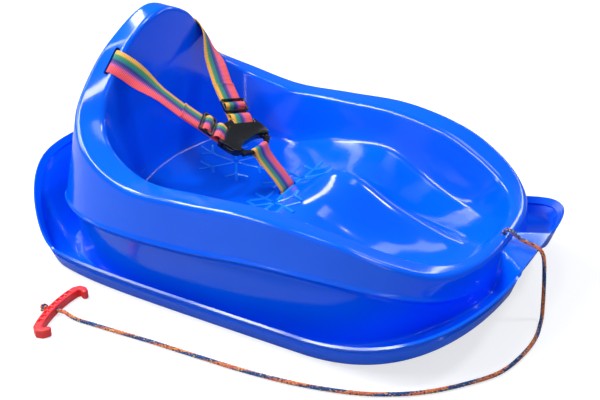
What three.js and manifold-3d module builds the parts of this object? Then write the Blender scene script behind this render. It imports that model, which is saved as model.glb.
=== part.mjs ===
import * as THREE from "three";
import { mergeVertices } from "three/addons/utils/BufferGeometryUtils.js";
import Module from "manifold-3d";

const wasm = await Module();
wasm.setup();

// Baby pull sled in millimetres: +X is forward, +Y is the rider's left and +Z is up.
// The origin lies on the ground under the middle of the moulded shell.

// Driving sizes of the moulded shell
const SLED_LENGTH = 731;
const SLED_WIDTH = 497;
const BACKREST_HEIGHT = 342;
const SKIN = 3.5;
const SOLE_FLAT_HEIGHT = 0.3;
const HALF_LENGTH = SLED_LENGTH / 2;
const HALF_WIDTH = SLED_WIDTH / 2;

// Rim, walls and brim of the shell
const WALL_FLARE = 0.12;
const REAR_WALL_FLARE = 0.22;
const REAR_FLARE_START_TURN = 105;
const REAR_FLARE_FULL_TURN = 150;
const SHOULDER_STEP_IN = 9;
const SHOULDER_STEP_DOWN = 8;
const BASE_TAPER_IN = 9;
const UNDERCUT_START_TURN = 14;
const UNDERCUT_FULL_TURN = 34;
const RIM_FILLET = 8;
const INNER_RIM_FILLET = 8;
const FOOT_FILLET = 24;
const SHOULDER_FILLET = 6;
const STEP_FILLET = 4;
const BASE_FILLET = 9;

// Upturned lip of the brim, measured from its foot
const LIP_HEIGHT = 33;
const LIP_FLARE = 10;
const LIP_BAND_HEIGHT = 17;
const LIP_BAND_FLARE = 5.5;
const LIP_STEP_IN = 1.2;
const LIP_STEP_RISE = 3;
const LIP_FILLET = 6;

// Brim outline: two superellipse halves that share one centre
const BRIM_CENTRE_X = 125;
const NOSE_POWER = 3.5;
const TAIL_POWER = 5.9;

// Upturn of the sole at both ends
const NOSE_RISE = 67;
const NOSE_RISE_RUN = 213;
const TAIL_RISE = 109;
const TAIL_RISE_RUN = 83;

// Nose platform that carries the rope from the rim to the lip
const PLATFORM_HEIGHT = 106;
const PLATFORM_DROP = 8;
const PLATFORM_HALF_WIDTH = 24;
const PLATFORM_SPREAD = 36;
const PLATFORM_EDGE = 27;
const PLATFORM_POWER = 6;

// Seat floor, leg channels and the hump between the legs
const SPINE_REAR_X = -130;
const SPINE_FRONT_X = 170;
const HUMP_HALF_WIDTH = 41;
const HUMP_FRONT_HALF_WIDTH = 34;
const DISH_POWER = 3;

// Shortest edge that a cut may leave
const SHORTEST_EDGE = 0.12;

// Openings cut in the shell
const CUT_DEPTH = 9;
const SHOULDER_SLOT_TURN = 155;
const SHOULDER_SLOT_SHARE = 0.33;
const SHOULDER_SLOT_WIDTH = 8;
const CROTCH_SLOT_X = -20;
const CROTCH_SLOT_WIDTH = 9;
const SLOT_END_CLEARANCE = 4;
const ROPE_HOLE_DIAMETER = 8;

// Harness webbing, its loops round bars and its running gaps
const STRAP_WIDTH = 35;
const STRAP_THICKNESS = 1.5;
const SEAT_GAP = 0.35;
const BAR_DIAMETER = 5;
const LOOP_SLACK = 0.3;
const LOOP_RADIUS = BAR_DIAMETER / 2 + SEAT_GAP + LOOP_SLACK + STRAP_THICKNESS / 2;
const LAYER_PITCH = STRAP_THICKNESS + SEAT_GAP;
const KEEPER_LENGTH = 54;
const KEEPER_DEPTH = 11;
const CROTCH_KEEPER_DEPTH = 16;
const TAIL_LENGTH = 30;
const RIM_BEND_LENGTH = 20;
const TWIST_LENGTH = 60;

// Strap sliders
const SLIDER_LENGTH = 24;
const SLIDER_WIDTH = 43.5;
const SLIDER_THICKNESS = 4.2;
const SLIDER_WINDOW_LENGTH = 6.6;
const SLIDER_END_BAR = 3.2;
const SLIDER_WINDOW_WIDTH = 36.6;
const SLIDER_EDGE = 0.7;
const SLIDER_GAP = 0.5;
const LEFT_SLIDER_DISTANCE = 20;
const RIGHT_SLIDER_DISTANCE = 15;

// Buckle: x runs from the shoulder straps to the crotch strap, y to the left and z up from its face
const BUCKLE_PLACE = [-90, -6, 164.4];
const BUCKLE_PITCH = 23.5;
const BUCKLE_THICKNESS = 12;
const BUCKLE_EDGE = 0.8;
const BUCKLE_FRONT_X = 17.5;
const BUCKLE_HALF_WIDTH = 48;
const BUCKLE_BAR_X = -23.4;
const BUCKLE_BAR_Y = 26;
const BUCKLE_BAR_TURN = 25;
const BAR_END_CLEARANCE = 0.9;
const BAR_END_SEAT = 2.5;
const SIDE_WALL = 3.6;
const RIB_HALF_WIDTH = 7;
const CHANNEL_HEIGHT = 6.4;
const CHANNEL_REAR_X = -10;
const CHANNEL_FRONT_X = 24;
const CHANNEL_INNER_Y = 27.3;
const CHANNEL_OUTER_Y = 60;
const TONGUE_THICKNESS = 5.8;
const INSERT_BAR_X = 27.5;
const INSERT_BAR_LENGTH = 41;

// Tow rope, its knots and the pull handle lying on the ground
const ROPE_DIAMETER = 6;
const ROPE_SIDES = 8;
const ROPE_STEP = 15;
const KNOT_DIAMETER = 13;
const KNOT_LENGTH = 12;
const HANDLE_THICKNESS = 13;
const HANDLE_EDGE = 1.2;
const HANDLE_GRIP_WIDTH = 12;
const HANDLE_TIP_WIDTH = 9;
const HANDLE_HOLE_DIAMETER = 7;
const HANDLE_MIDDLE = [-190.5, -322.5];
const HANDLE_TURN = -78.3;
const HANDLE_HALF_LENGTH = 54.5;
const HANDLE_DEPTH = 21;
const POCKET_COUNT = 8;
const POCKET_LENGTH = 7;
const POCKET_WIDTH = 6;
const POCKET_DEPTH = 3;
const POCKET_PITCH = 10.5;

const DEGREE = Math.PI / 180;

// Ring tables: one row for each 15 degrees from the front (0) to the rear (180),
// x as a share of half the length, y of half the width and z of the backrest height.
const OUTER_CREASE_SHARES = [
  [0.884, 0, 0.33],
  [0.865, 0.342, 0.325],
  [0.79, 0.604, 0.339],
  [0.657, 0.769, 0.398],
  [0.46, 0.865, 0.468],
  [0.183, 0.918, 0.508],
  [-0.111, 0.944, 0.493],
  [-0.372, 0.938, 0.487],
  [-0.585, 0.858, 0.553],
  [-0.724, 0.69, 0.645],
  [-0.759, 0.512, 0.762],
  [-0.742, 0.314, 0.897],
  [-0.722, 0, 1],
];
const INNER_CREASE_SHARES = [
  [0.835, 0, 0.326],
  [0.809, 0.317, 0.325],
  [0.727, 0.523, 0.347],
  [0.592, 0.642, 0.398],
  [0.405, 0.722, 0.458],
  [0.165, 0.757, 0.494],
  [-0.087, 0.777, 0.489],
  [-0.338, 0.785, 0.489],
  [-0.54, 0.706, 0.556],
  [-0.638, 0.588, 0.655],
  [-0.652, 0.443, 0.793],
  [-0.64, 0.25, 0.93],
  [-0.635, 0, 0.985],
];
const WALL_FOOT_SHARES = [
  [0.785, 0, 0.24],
  [0.755, 0.3, 0.234],
  [0.668, 0.463, 0.216],
  [0.547, 0.555, 0.204],
  [0.383, 0.633, 0.238],
  [0.159, 0.684, 0.33],
  [-0.079, 0.692, 0.318],
  [-0.315, 0.688, 0.25],
  [-0.488, 0.604, 0.266],
  [-0.566, 0.463, 0.285],
  [-0.596, 0.322, 0.298],
  [-0.607, 0.165, 0.31],
  [-0.61, 0, 0.316],
];
const SHOULDER_HEIGHT_SHARES = [
  0.225, 0.222, 0.237, 0.275, 0.308, 0.318, 0.298, 0.287, 0.277, 0.275, 0.275, 0.275, 0.275,
];
const RING_STEP = 15;
const HALF_TURN = 180;

// Floor heights along the centre line: [x share of half the length, height share of the backrest height]
const CHANNEL_SHARES = [
  [-0.64, 0.272],
  [-0.42, 0.252],
  [-0.28, 0.248],
  [-0.17, 0.253],
  [-0.05, 0.274],
  [0.08, 0.302],
  [0.16, 0.3],
  [0.25, 0.268],
  [0.33, 0.232],
  [0.41, 0.204],
  [0.49, 0.19],
  [0.58, 0.187],
  [0.67, 0.193],
  [0.8, 0.22],
];
const HUMP_SHARES = [
  [-0.13, 0],
  [-0.05, 0.01],
  [0.02, 0.04],
  [0.08, 0.07],
  [0.14, 0.104],
  [0.2, 0.132],
  [0.26, 0.149],
  [0.32, 0.149],
  [0.4, 0.132],
  [0.49, 0.108],
  [0.58, 0.076],
  [0.67, 0.038],
  [0.74, 0.008],
  [0.78, 0],
];

// Turns at which the shell's columns stand, closer together at the nose platform
const COLUMN_TURNS = [
  0, 3, 6, 9, 12, 15, 18, 21, 25, 30, 37.5, 45, 52.5, 60, 67.5, 75, 82.5, 90, 97.5, 105, 112.5, 120,
  125, 129, 133, 137, 141, 145, 150, 157.5, 165, 172.5, 180,
];
const FLOOR_RING_SHARES = [0.2, 0.4, 0.6, 0.8];

function vec(x, y, z) {
  return new THREE.Vector3(x, y, z);
}

// A smooth closed ring through the rows of a share table, read by its turn in degrees.
function ringOf(shares) {
  const half = shares.map(([x, y, z]) => vec(x * HALF_LENGTH, y * HALF_WIDTH, z * BACKREST_HEIGHT));
  const mirrored = half.slice(1, -1).reverse();
  const points = [...half, ...mirrored.map((p) => vec(p.x, -p.y, p.z))];
  const curve = new THREE.CatmullRomCurve3(points, true, "catmullrom", 0.5);
  return (turn) => curve.getPoint(turn / (2 * HALF_TURN));
}

// A smooth height along a table of [place, value] rows.
function smoothTable(rows, place) {
  const last = rows.length - 1;
  if (place <= rows[0][0]) return rows[0][1];
  if (place >= rows[last][0]) return rows[last][1];
  const i = rows.findIndex((row) => row[0] > place) - 1;
  const [a, b] = [rows[i], rows[i + 1]];
  const before = rows[Math.max(i - 1, 0)];
  const after = rows[Math.min(i + 2, last)];
  const span = b[0] - a[0];
  const slopeA = ((b[1] - before[1]) / (b[0] - before[0])) * span;
  const slopeB = ((after[1] - a[1]) / (after[0] - a[0])) * span;
  const f = (place - a[0]) / span;
  const [f2, f3] = [f * f, f * f * f];
  return (
    (2 * f3 - 3 * f2 + 1) * a[1] + (f3 - 2 * f2 + f) * slopeA + (3 * f2 - 2 * f3) * b[1] + (f3 - f2) * slopeB
  );
}

const outerCrease = ringOf(OUTER_CREASE_SHARES);
const innerCrease = ringOf(INNER_CREASE_SHARES);
const wallFoot = ringOf(WALL_FOOT_SHARES);
const shoulderRows = SHOULDER_HEIGHT_SHARES.map((share, i) => [i * RING_STEP, share * BACKREST_HEIGHT]);

// Rise of the sole above the ground at a place along the sled.
function soleRise(x) {
  const noseStart = HALF_LENGTH - LIP_FLARE - SKIN - NOSE_RISE_RUN;
  const tailStart = -(HALF_LENGTH - LIP_FLARE - SKIN - TAIL_RISE_RUN);
  if (x > noseStart) return NOSE_RISE * ((x - noseStart) / NOSE_RISE_RUN) ** 2;
  if (x < tailStart) return TAIL_RISE * ((tailStart - x) / TAIL_RISE_RUN) ** 2;
  return 0;
}

// Height of the nose platform's top at a place, and how far the surface belongs to it (0 to 1).
function platformHeight(x) {
  const start = OUTER_CREASE_SHARES[0][0] * HALF_LENGTH;
  return PLATFORM_HEIGHT - PLATFORM_DROP * ((x - start) / (HALF_LENGTH - start));
}
function platformShare(x, y) {
  const start = OUTER_CREASE_SHARES[0][0] * HALF_LENGTH;
  const along = THREE.MathUtils.clamp((x - start) / (HALF_LENGTH - start), 0, 1);
  const edge = PLATFORM_HALF_WIDTH + PLATFORM_SPREAD * along;
  return 1 - THREE.MathUtils.smoothstep(Math.abs(y), edge, edge + PLATFORM_EDGE);
}

// Lays the outer part of a column on the platform where it belongs to it.
function onPlatform(outside) {
  const [start, end] = [outside[0], outside.at(-1)];
  if (start.x < 0) return outside;
  return outside.map((p, i) => {
    const way = i / (outside.length - 1);
    const flat = start.clone().lerp(end, way);
    const share = platformShare(flat.x, flat.y);
    const startRise = (start.z - platformHeight(start.x)) * (1 - way) ** PLATFORM_POWER;
    const endRise = (end.z - platformHeight(end.x)) * way ** PLATFORM_POWER;
    flat.z = platformHeight(flat.x) + startRise + endRise;
    return p.clone().lerp(flat, share);
  });
}

// Height of the moulded floor between the walls: leg channels with the hump on the centre line.
function floorHeight(x, y) {
  const place = x / HALF_LENGTH;
  const width = THREE.MathUtils.lerp(
    HUMP_HALF_WIDTH,
    HUMP_FRONT_HALF_WIDTH,
    THREE.MathUtils.smoothstep(x, 0, HALF_LENGTH),
  );
  const hump = smoothTable(HUMP_SHARES, place) * Math.exp(-((y / width) ** 2));
  return (smoothTable(CHANNEL_SHARES, place) + hump) * BACKREST_HEIGHT;
}

// The point where a ray from the spine through a wall point meets the brim outline.
function brimPoint(spine, through, inset) {
  const way = vec(through.x - spine.x, through.y - spine.y, 0).normalize();
  const outside = (distance) => {
    const x = spine.x + way.x * distance - BRIM_CENTRE_X;
    const reach = x > 0 ? HALF_LENGTH - BRIM_CENTRE_X - inset : HALF_LENGTH + BRIM_CENTRE_X - inset;
    const power = x > 0 ? NOSE_POWER : TAIL_POWER;
    const across = (spine.y + way.y * distance) / (HALF_WIDTH - inset);
    return Math.abs(x / reach) ** power + Math.abs(across) ** power > 1;
  };
  let [low, high] = [0, SLED_LENGTH];
  for (let i = 0; i < 40; i += 1) {
    const middle = (low + high) / 2;
    if (outside(middle)) high = middle;
    else low = middle;
  }
  return vec(spine.x + way.x * low, spine.y + way.y * low, 0);
}

// Points that round the corner of a path with a short curve.
function roundedCorner(before, corner, after, reach, steps) {
  const back = Math.min(reach, before.distanceTo(corner) * 0.45);
  const ahead = Math.min(reach, after.distanceTo(corner) * 0.45);
  const start = corner.clone().lerp(before, back / before.distanceTo(corner));
  const end = corner.clone().lerp(after, ahead / after.distanceTo(corner));
  const curve = new THREE.QuadraticBezierCurve3(start, corner, end);
  return curve.getPoints(steps);
}

// One column of the shell's upper surface, from the spine of the seat out to the lip's edge.
function shellColumn(turn) {
  const foot = wallFoot(turn);
  const inner = innerCrease(turn);
  const outer = outerCrease(turn);
  const spine = vec(THREE.MathUtils.clamp(foot.x, SPINE_REAR_X, SPINE_FRONT_X), 0, 0);
  const away = vec(outer.x - spine.x, outer.y, 0).normalize();
  const shoulderZ = smoothTable(shoulderRows, turn);
  const rearward = THREE.MathUtils.smoothstep(turn, REAR_FLARE_START_TURN, REAR_FLARE_FULL_TURN);
  const flare = THREE.MathUtils.lerp(WALL_FLARE, REAR_WALL_FLARE, rearward);
  const shoulder = outer.clone().addScaledVector(away, flare * (outer.z - shoulderZ));
  shoulder.z = shoulderZ;
  const undercut = THREE.MathUtils.smoothstep(turn, UNDERCUT_START_TURN, UNDERCUT_FULL_TURN);
  const step = shoulder.clone().addScaledVector(away, -SHOULDER_STEP_IN * undercut);
  step.z = shoulderZ - SHOULDER_STEP_DOWN;
  const base = step.clone().addScaledVector(away, -BASE_TAPER_IN * undercut);
  base.z = soleRise(base.x) + SKIN;
  const lipInset = SKIN + LIP_FLARE;
  const lipFoot = brimPoint(spine, base, lipInset);
  const lipRise = soleRise(lipFoot.x) + SKIN;
  lipFoot.z = lipRise;
  const lipPlace = (flare, height) => {
    const p = brimPoint(spine, base, lipInset - flare);
    p.z = lipRise + height;
    return p;
  };
  const band = lipPlace(LIP_BAND_FLARE, LIP_BAND_HEIGHT);
  const ledge = lipPlace(LIP_BAND_FLARE - LIP_STEP_IN, LIP_BAND_HEIGHT + LIP_STEP_RISE);
  const edge = lipPlace(LIP_FLARE, LIP_HEIGHT - SKIN);
  const middle = base.clone().lerp(lipFoot, 0.5);
  middle.z = soleRise(middle.x) + SKIN;

  const footStart = foot.clone().lerp(spine.clone().setZ(foot.z), FOOT_FILLET / foot.distanceTo(spine));
  const floor = [0, ...FLOOR_RING_SHARES, 1].map((share) => {
    const p = spine.clone().lerp(footStart, share);
    const rise = foot.z - floorHeight(foot.x, foot.y);
    const dish = (share * (1 - FOOT_FILLET / foot.distanceTo(spine))) ** DISH_POWER;
    p.z = floorHeight(p.x, p.y) + rise * dish;
    return p;
  });
  const floorEnd = floor.pop();
  const wallMiddle = foot.clone().lerp(inner, 0.5);
  const outerMiddle = outer.clone().lerp(shoulder, 0.5);
  const points = [
    ...floor,
    ...roundedCorner(floorEnd, foot, inner, FOOT_FILLET, 3),
    wallMiddle,
    ...roundedCorner(foot, inner, outer, INNER_RIM_FILLET, 2),
    ...roundedCorner(inner, outer, shoulder, RIM_FILLET, 3),
    outerMiddle,
    ...roundedCorner(outer, shoulder, step, SHOULDER_FILLET, 2),
    ...roundedCorner(shoulder, step, base, STEP_FILLET, 1),
    ...roundedCorner(step, base, lipFoot, BASE_FILLET, 2),
    middle,
    ...roundedCorner(base, lipFoot, band, LIP_FILLET, 2),
    band,
    ledge,
    edge,
  ];
  const rimEnd = points.indexOf(outerMiddle) - 1;
  return [...points.slice(0, rimEnd), ...onPlatform(points.slice(rimEnd))];
}

// Welds equal points of a triangle list and drops the triangles that collapse.
function weld(triangles) {
  const index = new Map();
  const points = [];
  const idOf = (p) => {
    const key = [p.x, p.y, p.z].map((v) => Math.round(v * 1000)).join(",");
    if (!index.has(key)) {
      index.set(key, points.length);
      points.push(p);
    }
    return index.get(key);
  };
  const faces = triangles.map((t) => t.map(idOf)).filter(([a, b, c]) => a !== b && b !== c && a !== c);
  return { points, faces };
}

// Closes a surface into a skin of even thickness: its underside lies along the averaged normals.
// What comes next to the ground there is pressed flat, so that the sled rests on faces.
function skinOf(triangles, thickness) {
  const { points, faces } = weld(triangles);
  const normals = points.map(() => vec(0, 0, 0));
  for (const [a, b, c] of faces) {
    const n = points[b].clone().sub(points[a]).cross(points[c].clone().sub(points[a]));
    for (const i of [a, b, c]) normals[i].add(n);
  }
  const under = points.map((p, i) => p.clone().addScaledVector(normals[i].normalize(), -thickness));
  for (const p of under) if (p.z < SOLE_FLAT_HEIGHT) p.z = 0;
  const edges = new Map();
  for (const face of faces)
    for (let k = 0; k < 3; k += 1) {
      const [a, b] = [face[k], face[(k + 1) % 3]];
      if (!edges.delete(`${b},${a}`)) edges.set(`${a},${b}`, [a, b]);
    }
  const count = points.length;
  const closed = faces.flatMap(([a, b, c]) => [
    [a, b, c],
    [a + count, c + count, b + count],
  ]);
  for (const [a, b] of edges.values()) closed.push([b, a, a + count], [b, a + count, b + count]);
  return geometryOf([...points, ...under], closed);
}

function geometryOf(points, faces) {
  const geometry = new THREE.BufferGeometry();
  const places = new Float32Array(points.flatMap((p) => [p.x, p.y, p.z]));
  geometry.setAttribute("position", new THREE.BufferAttribute(places, 3));
  geometry.setIndex(faces.flat());
  return geometry;
}

// A manifold solid from a closed three.js geometry, and back.
function solid(geometry) {
  const bare = geometry.clone();
  for (const name of Object.keys(bare.attributes)) if (name !== "position") bare.deleteAttribute(name);
  const merged = mergeVertices(bare, 1e-3);
  const vertProperties = merged.attributes.position.array;
  const triVerts = new Uint32Array(merged.index.array);
  return new wasm.Manifold(new wasm.Mesh({ numProp: 3, vertProperties, triVerts }));
}
function geometryFrom(manifold) {
  const mesh = manifold.getMesh();
  const points = [];
  const places = mesh.vertProperties;
  for (let i = 0; i < places.length; i += 3) points.push(vec(...places.slice(i, i + 3)));
  const faces = [];
  for (let i = 0; i < mesh.triVerts.length; i += 3) faces.push([...mesh.triVerts.slice(i, i + 3)]);
  return geometryOf(points, withoutShortEdges(points, faces));
}

// Cuts leave edges of a few hundredths of a millimetre: their two ends become one point.
function withoutShortEdges(points, faces) {
  const kept = points.map((_, i) => i);
  const keptOf = (i) => (kept[i] === i ? i : keptOf(kept[i]));
  for (const face of faces)
    for (let k = 0; k < 3; k += 1) {
      const [a, b] = [keptOf(face[k]), keptOf(face[(k + 1) % 3])];
      if (a !== b && points[a].distanceTo(points[b]) < SHORTEST_EDGE) kept[b] = a;
    }
  return faces.map((face) => face.map(keptOf)).filter(([a, b, c]) => a !== b && b !== c && a !== c);
}

// The shell's upper surface as triangles between neighbouring columns.
function shellSurface() {
  const left = COLUMN_TURNS.map(shellColumn);
  const right = left.map((column) => column.map((p) => vec(p.x, -p.y, p.z)));
  const triangles = [];
  const join = (one, two) => {
    for (let i = 0; i + 1 < one.length; i += 1) {
      triangles.push([one[i], one[i + 1], two[i + 1]], [one[i], two[i + 1], two[i]]);
    }
  };
  for (let k = 0; k + 1 < left.length; k += 1) {
    join(left[k], left[k + 1]);
    join(right[k + 1], right[k]);
  }
  return triangles;
}

function rimMiddle(turn) {
  return innerCrease(turn).lerp(outerCrease(turn), 0.5);
}

// The slot of a shoulder strap: its place on the band, and the ways along the rim, forward and outward.
function shoulderSlot(side) {
  const on = (turn) => {
    const p = innerCrease(turn).lerp(outerCrease(turn), SHOULDER_SLOT_SHARE);
    return vec(p.x, side * p.y, p.z);
  };
  const place = on(SHOULDER_SLOT_TURN);
  const rim = on(SHOULDER_SLOT_TURN + 1).sub(on(SHOULDER_SLOT_TURN - 1)).normalize();
  const across = innerCrease(SHOULDER_SLOT_TURN).sub(outerCrease(SHOULDER_SLOT_TURN));
  across.y *= side;
  const out = across.cross(rim).normalize();
  if (out.z < 0) out.negate();
  const front = rim.clone().cross(out).normalize();
  if (front.x < 0) front.negate();
  return { place, rim, out, front };
}

// A frame as a matrix, with the third axis square to the first two.
function frameOf(place, first, second) {
  return new THREE.Matrix4().makeBasis(first, second, first.clone().cross(second)).setPosition(place);
}

function hullShell() {
  let shell = solid(skinOf(shellSurface(), SKIN));
  const slotLength = STRAP_WIDTH + 2 * SLOT_END_CLEARANCE;
  for (const side of [1, -1]) {
    const { place, rim, front } = shoulderSlot(side);
    const cutter = new THREE.BoxGeometry(SHOULDER_SLOT_WIDTH, slotLength, 2 * CUT_DEPTH);
    shell = shell.subtract(solid(cutter.applyMatrix4(frameOf(place, front, rim))));
  }
  const crotchCut = new THREE.BoxGeometry(CROTCH_SLOT_WIDTH, slotLength, 4 * CUT_DEPTH);
  crotchCut.translate(CROTCH_SLOT_X, 0, floorHeight(CROTCH_SLOT_X, 0));
  shell = shell.subtract(solid(crotchCut));
  const holeRadius = ROPE_HOLE_DIAMETER / 2;
  const hole = new THREE.CylinderGeometry(holeRadius, holeRadius, 2 * CUT_DEPTH, 16);
  hole.rotateX(Math.PI / 2);
  hole.translate(rimMiddle(0).x, 0, rimMiddle(0).z);
  return geometryFrom(shell.subtract(solid(hole)));
}

// Turns a closed surface's faces outward.
function facingOut(points, faces) {
  let volume = 0;
  for (const [a, b, c] of faces) volume += points[a].dot(points[b].clone().cross(points[c]));
  return geometryOf(points, volume < 0 ? faces.map(([a, b, c]) => [a, c, b]) : faces);
}

// Joins rings of equally many points into one closed body with flat ends.
// Both faces of a strap get the same diagonals, so that a twisted strap keeps its thickness.
function loft(rings) {
  const points = rings.flat();
  const n = rings[0].length;
  const faces = [];
  for (let k = 0; k + 1 < rings.length; k += 1)
    for (let i = 0; i < n; i += 1) {
      const [a, b] = [k * n + i, k * n + ((i + 1) % n)];
      if (2 * i < n) faces.push([a, b, b + n], [a, b + n, a + n]);
      else faces.push([a, b, a + n], [b, b + n, a + n]);
    }
  const last = (rings.length - 1) * n;
  for (let i = 1; i + 1 < n; i += 1) faces.push([0, i + 1, i], [last, last + i, last + i + 1]);
  return facingOut(points, faces);
}

// A strap of even thickness through stations that give a place and the way across.
function ribbon(stations, width, thickness) {
  const way = (a, b) => b.place.clone().sub(a.place).normalize();
  const rings = stations.map((station, i) => {
    const before = way(stations[Math.max(i - 1, 0)], stations[Math.max(i, 1)]);
    const last = stations.length - 1;
    const after = way(stations[Math.min(i, last - 1)], stations[Math.min(i + 1, last)]);
    const forward = before.clone().add(after).normalize();
    const across = station.across.clone().addScaledVector(forward, -station.across.dot(forward)).normalize();
    const reach = thickness / 2 / Math.max(forward.dot(before), 0.7);
    const up = forward.cross(across).multiplyScalar(reach);
    const side = across.multiplyScalar(width / 2);
    const corner = (p, q) => station.place.clone().addScaledVector(side, p).addScaledVector(up, q);
    return [corner(1, 1), corner(-1, 1), corner(-1, -1), corner(1, -1)];
  });
  return loft(rings);
}

// A round tube along a list of points.
function tube(points, radius, sides) {
  const last = points.length - 1;
  let up = null;
  const rings = points.map((place, i) => {
    const forward = points[Math.min(i + 1, last)].clone().sub(points[Math.max(i - 1, 0)]).normalize();
    if (!up) up = Math.abs(forward.z) > 0.9 ? vec(0, 1, 0) : vec(0, 0, 1);
    up.addScaledVector(forward, -up.dot(forward)).normalize();
    const side = forward.clone().cross(up);
    return Array.from({ length: sides }, (_, k) => {
      const angle = (2 * Math.PI * k) / sides;
      const out = up.clone().multiplyScalar(Math.cos(angle)).addScaledVector(side, Math.sin(angle));
      return place.clone().addScaledVector(out, radius);
    });
  });
  return loft(rings);
}

// A flat plate from an outline, with chamfered edges, lying evenly about its middle plane.
function plate(outline, holes, thickness, edge) {
  const shape = new THREE.Shape(outline.map(([x, y]) => new THREE.Vector2(x, y)));
  for (const hole of holes) shape.holes.push(new THREE.Path(hole.map(([x, y]) => new THREE.Vector2(x, y))));
  const geometry = new THREE.ExtrudeGeometry(shape, {
    depth: thickness - 2 * edge,
    bevelEnabled: edge > 0,
    bevelThickness: edge,
    bevelSize: edge,
    bevelOffset: -edge,
    bevelSegments: 1,
  });
  return geometry.translate(0, 0, edge - thickness / 2);
}

// The corners of a rectangle with its corners cut at a slant.
function rectangle(x, y, length, width, cut) {
  const [a, b] = [length / 2, width / 2];
  return [
    [x + a - cut, y - b],
    [x + a, y - b + cut],
    [x + a, y + b - cut],
    [x + a - cut, y + b],
    [x - a + cut, y + b],
    [x - a, y + b - cut],
    [x - a, y - b + cut],
    [x - a + cut, y - b],
  ];
}

function rod(length, diameter, sides = 12) {
  return new THREE.CylinderGeometry(diameter / 2, diameter / 2, length, sides);
}

// Places on a loop round a bar, by angle from the way out to the way front.
function aroundBar(bar, out, front, from, to, steps) {
  return Array.from({ length: steps + 1 }, (_, i) => {
    const angle = THREE.MathUtils.lerp(from, to, i / steps) * DEGREE;
    const place = bar.clone().addScaledVector(out, LOOP_RADIUS * Math.cos(angle));
    return place.addScaledVector(front, LOOP_RADIUS * Math.sin(angle));
  });
}

// Frame of the buckle, and of the bar that carries a shoulder strap
const buckleFrame = frameOf(
  vec(...BUCKLE_PLACE),
  vec(Math.cos(BUCKLE_PITCH * DEGREE), 0, -Math.sin(BUCKLE_PITCH * DEGREE)),
  vec(0, 1, 0),
);
function strapFrame(side) {
  const slot = shoulderSlot(side);
  const bar = vec(BUCKLE_BAR_X, side * BUCKLE_BAR_Y, 0).applyMatrix4(buckleFrame);
  const turn = BUCKLE_BAR_TURN * DEGREE;
  const along = vec(Math.sin(turn), side * Math.cos(turn), 0).transformDirection(buckleFrame);
  const aheadOfSlot = slot.place.clone().addScaledVector(slot.front, 3 * LOOP_RADIUS);
  const entry = aheadOfSlot.addScaledVector(slot.out, 2 * LAYER_PITCH);
  const away = entry.clone().sub(bar);
  away.addScaledVector(along, -away.dot(along)).normalize();
  const across = along.clone().negate();
  const up = away.clone().cross(across);
  if (up.z < 0) up.negate();
  return { slot, bar, entry, away, across, up };
}

// Places along the webbing's bend over the rim, and along its run down to the slider
const BEND_SHARES = [0.2, 0.4, 0.6, 0.8];
const RUN_SHARES = [0, 0.1, 0.2, 0.32, 0.45, 0.6, 0.8, 1];

// Path of the webbing through a slider, as shares of the slider's length from its near edge
const SLIDER_PATH_SHARES = [
  [0.15, 0],
  [0.192, 0.02],
  [0.329, 0.2],
  [0.375, 0.262],
  [0.433, 0.279],
  [0.5, 0.283],
];
// Hump of the webbing between the bar and the slider, as shares of that distance and of the loop's height
const LOOP_HUMP_SHARES = [
  [0.25, 1.15],
  [0.5, 1.19],
  [0.72, 0.96],
  [0.86, 0.51],
  [0.97, 0.257],
];

// A shoulder strap: sewn loop on its keeper, out of the slot, down to the buckle's bar, back through the slider.
function shoulderStrap(side, sliderDistance) {
  const { slot, bar, entry, away, across, up } = strapFrame(side);
  const keeper = slot.place.clone().addScaledVector(slot.out, -KEEPER_DEPTH);
  const rimWays = (f, o) => slot.place.clone().addScaledVector(slot.front, f).addScaledVector(slot.out, o);
  const half = LAYER_PITCH / 2;
  const lean = (SHOULDER_SLOT_WIDTH - STRAP_THICKNESS) / 2 - SEAT_GAP;
  const atSlot = [
    rimWays(-half, -STRAP_THICKNESS),
    rimWays(-half, -KEEPER_DEPTH / 2),
    ...aroundBar(keeper, slot.out, slot.front, -75, -285, 8),
    rimWays(half, -KEEPER_DEPTH / 2),
    rimWays(lean, -half),
    rimWays(lean, STRAP_THICKNESS),
  ].map((place) => ({ place, across: slot.rim }));
  const lower = bar.clone().addScaledVector(up, -LOOP_RADIUS);
  const onStrap = (s, h) => lower.clone().addScaledVector(away, s).addScaledVector(up, h);
  const straightEnd = onStrap(sliderDistance + SLIDER_LENGTH + TAIL_LENGTH, 0);
  const exit = atSlot.at(-1).place;
  const bendEnd = entry.clone().addScaledVector(away, -RIM_BEND_LENGTH);
  const overRim = new THREE.QuadraticBezierCurve3(exit, entry, bendEnd);
  const bend = BEND_SHARES.map((share) => ({ place: overRim.getPoint(share), across: slot.rim }));
  const reach = bendEnd.distanceTo(straightEnd);
  const run = RUN_SHARES.map((share) => {
    const twist = THREE.MathUtils.smoothstep(share * reach, 0, TWIST_LENGTH);
    const width = slot.rim.clone().lerp(across, twist).normalize();
    return { place: bendEnd.clone().lerp(straightEnd, share), across: width };
  });
  const loopHeight = 2 * LOOP_RADIUS;
  const layer = (s, h) => ({ place: onStrap(s, h), across });
  const through = SLIDER_PATH_SHARES.map(([s, h]) => [s * SLIDER_LENGTH, LAYER_PITCH + h * SLIDER_LENGTH]);
  const back = through.slice(0, -1).reverse().map(([s, h]) => [SLIDER_LENGTH - s, h]);
  const stations = [
    ...atSlot,
    ...bend,
    ...run,
    layer(sliderDistance + SLIDER_LENGTH / 2, 0),
    ...aroundBar(bar, up, away, -180, 0, 8).map((place) => ({ place, across })),
    ...LOOP_HUMP_SHARES.map(([s, h]) => layer(s * sliderDistance, h * loopHeight)),
    ...[...through, ...back].map(([s, h]) => layer(sliderDistance + s, h)),
    layer(sliderDistance + SLIDER_LENGTH + TAIL_LENGTH, LAYER_PITCH),
  ];
  return ribbon(stations, STRAP_WIDTH, STRAP_THICKNESS);
}

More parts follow.
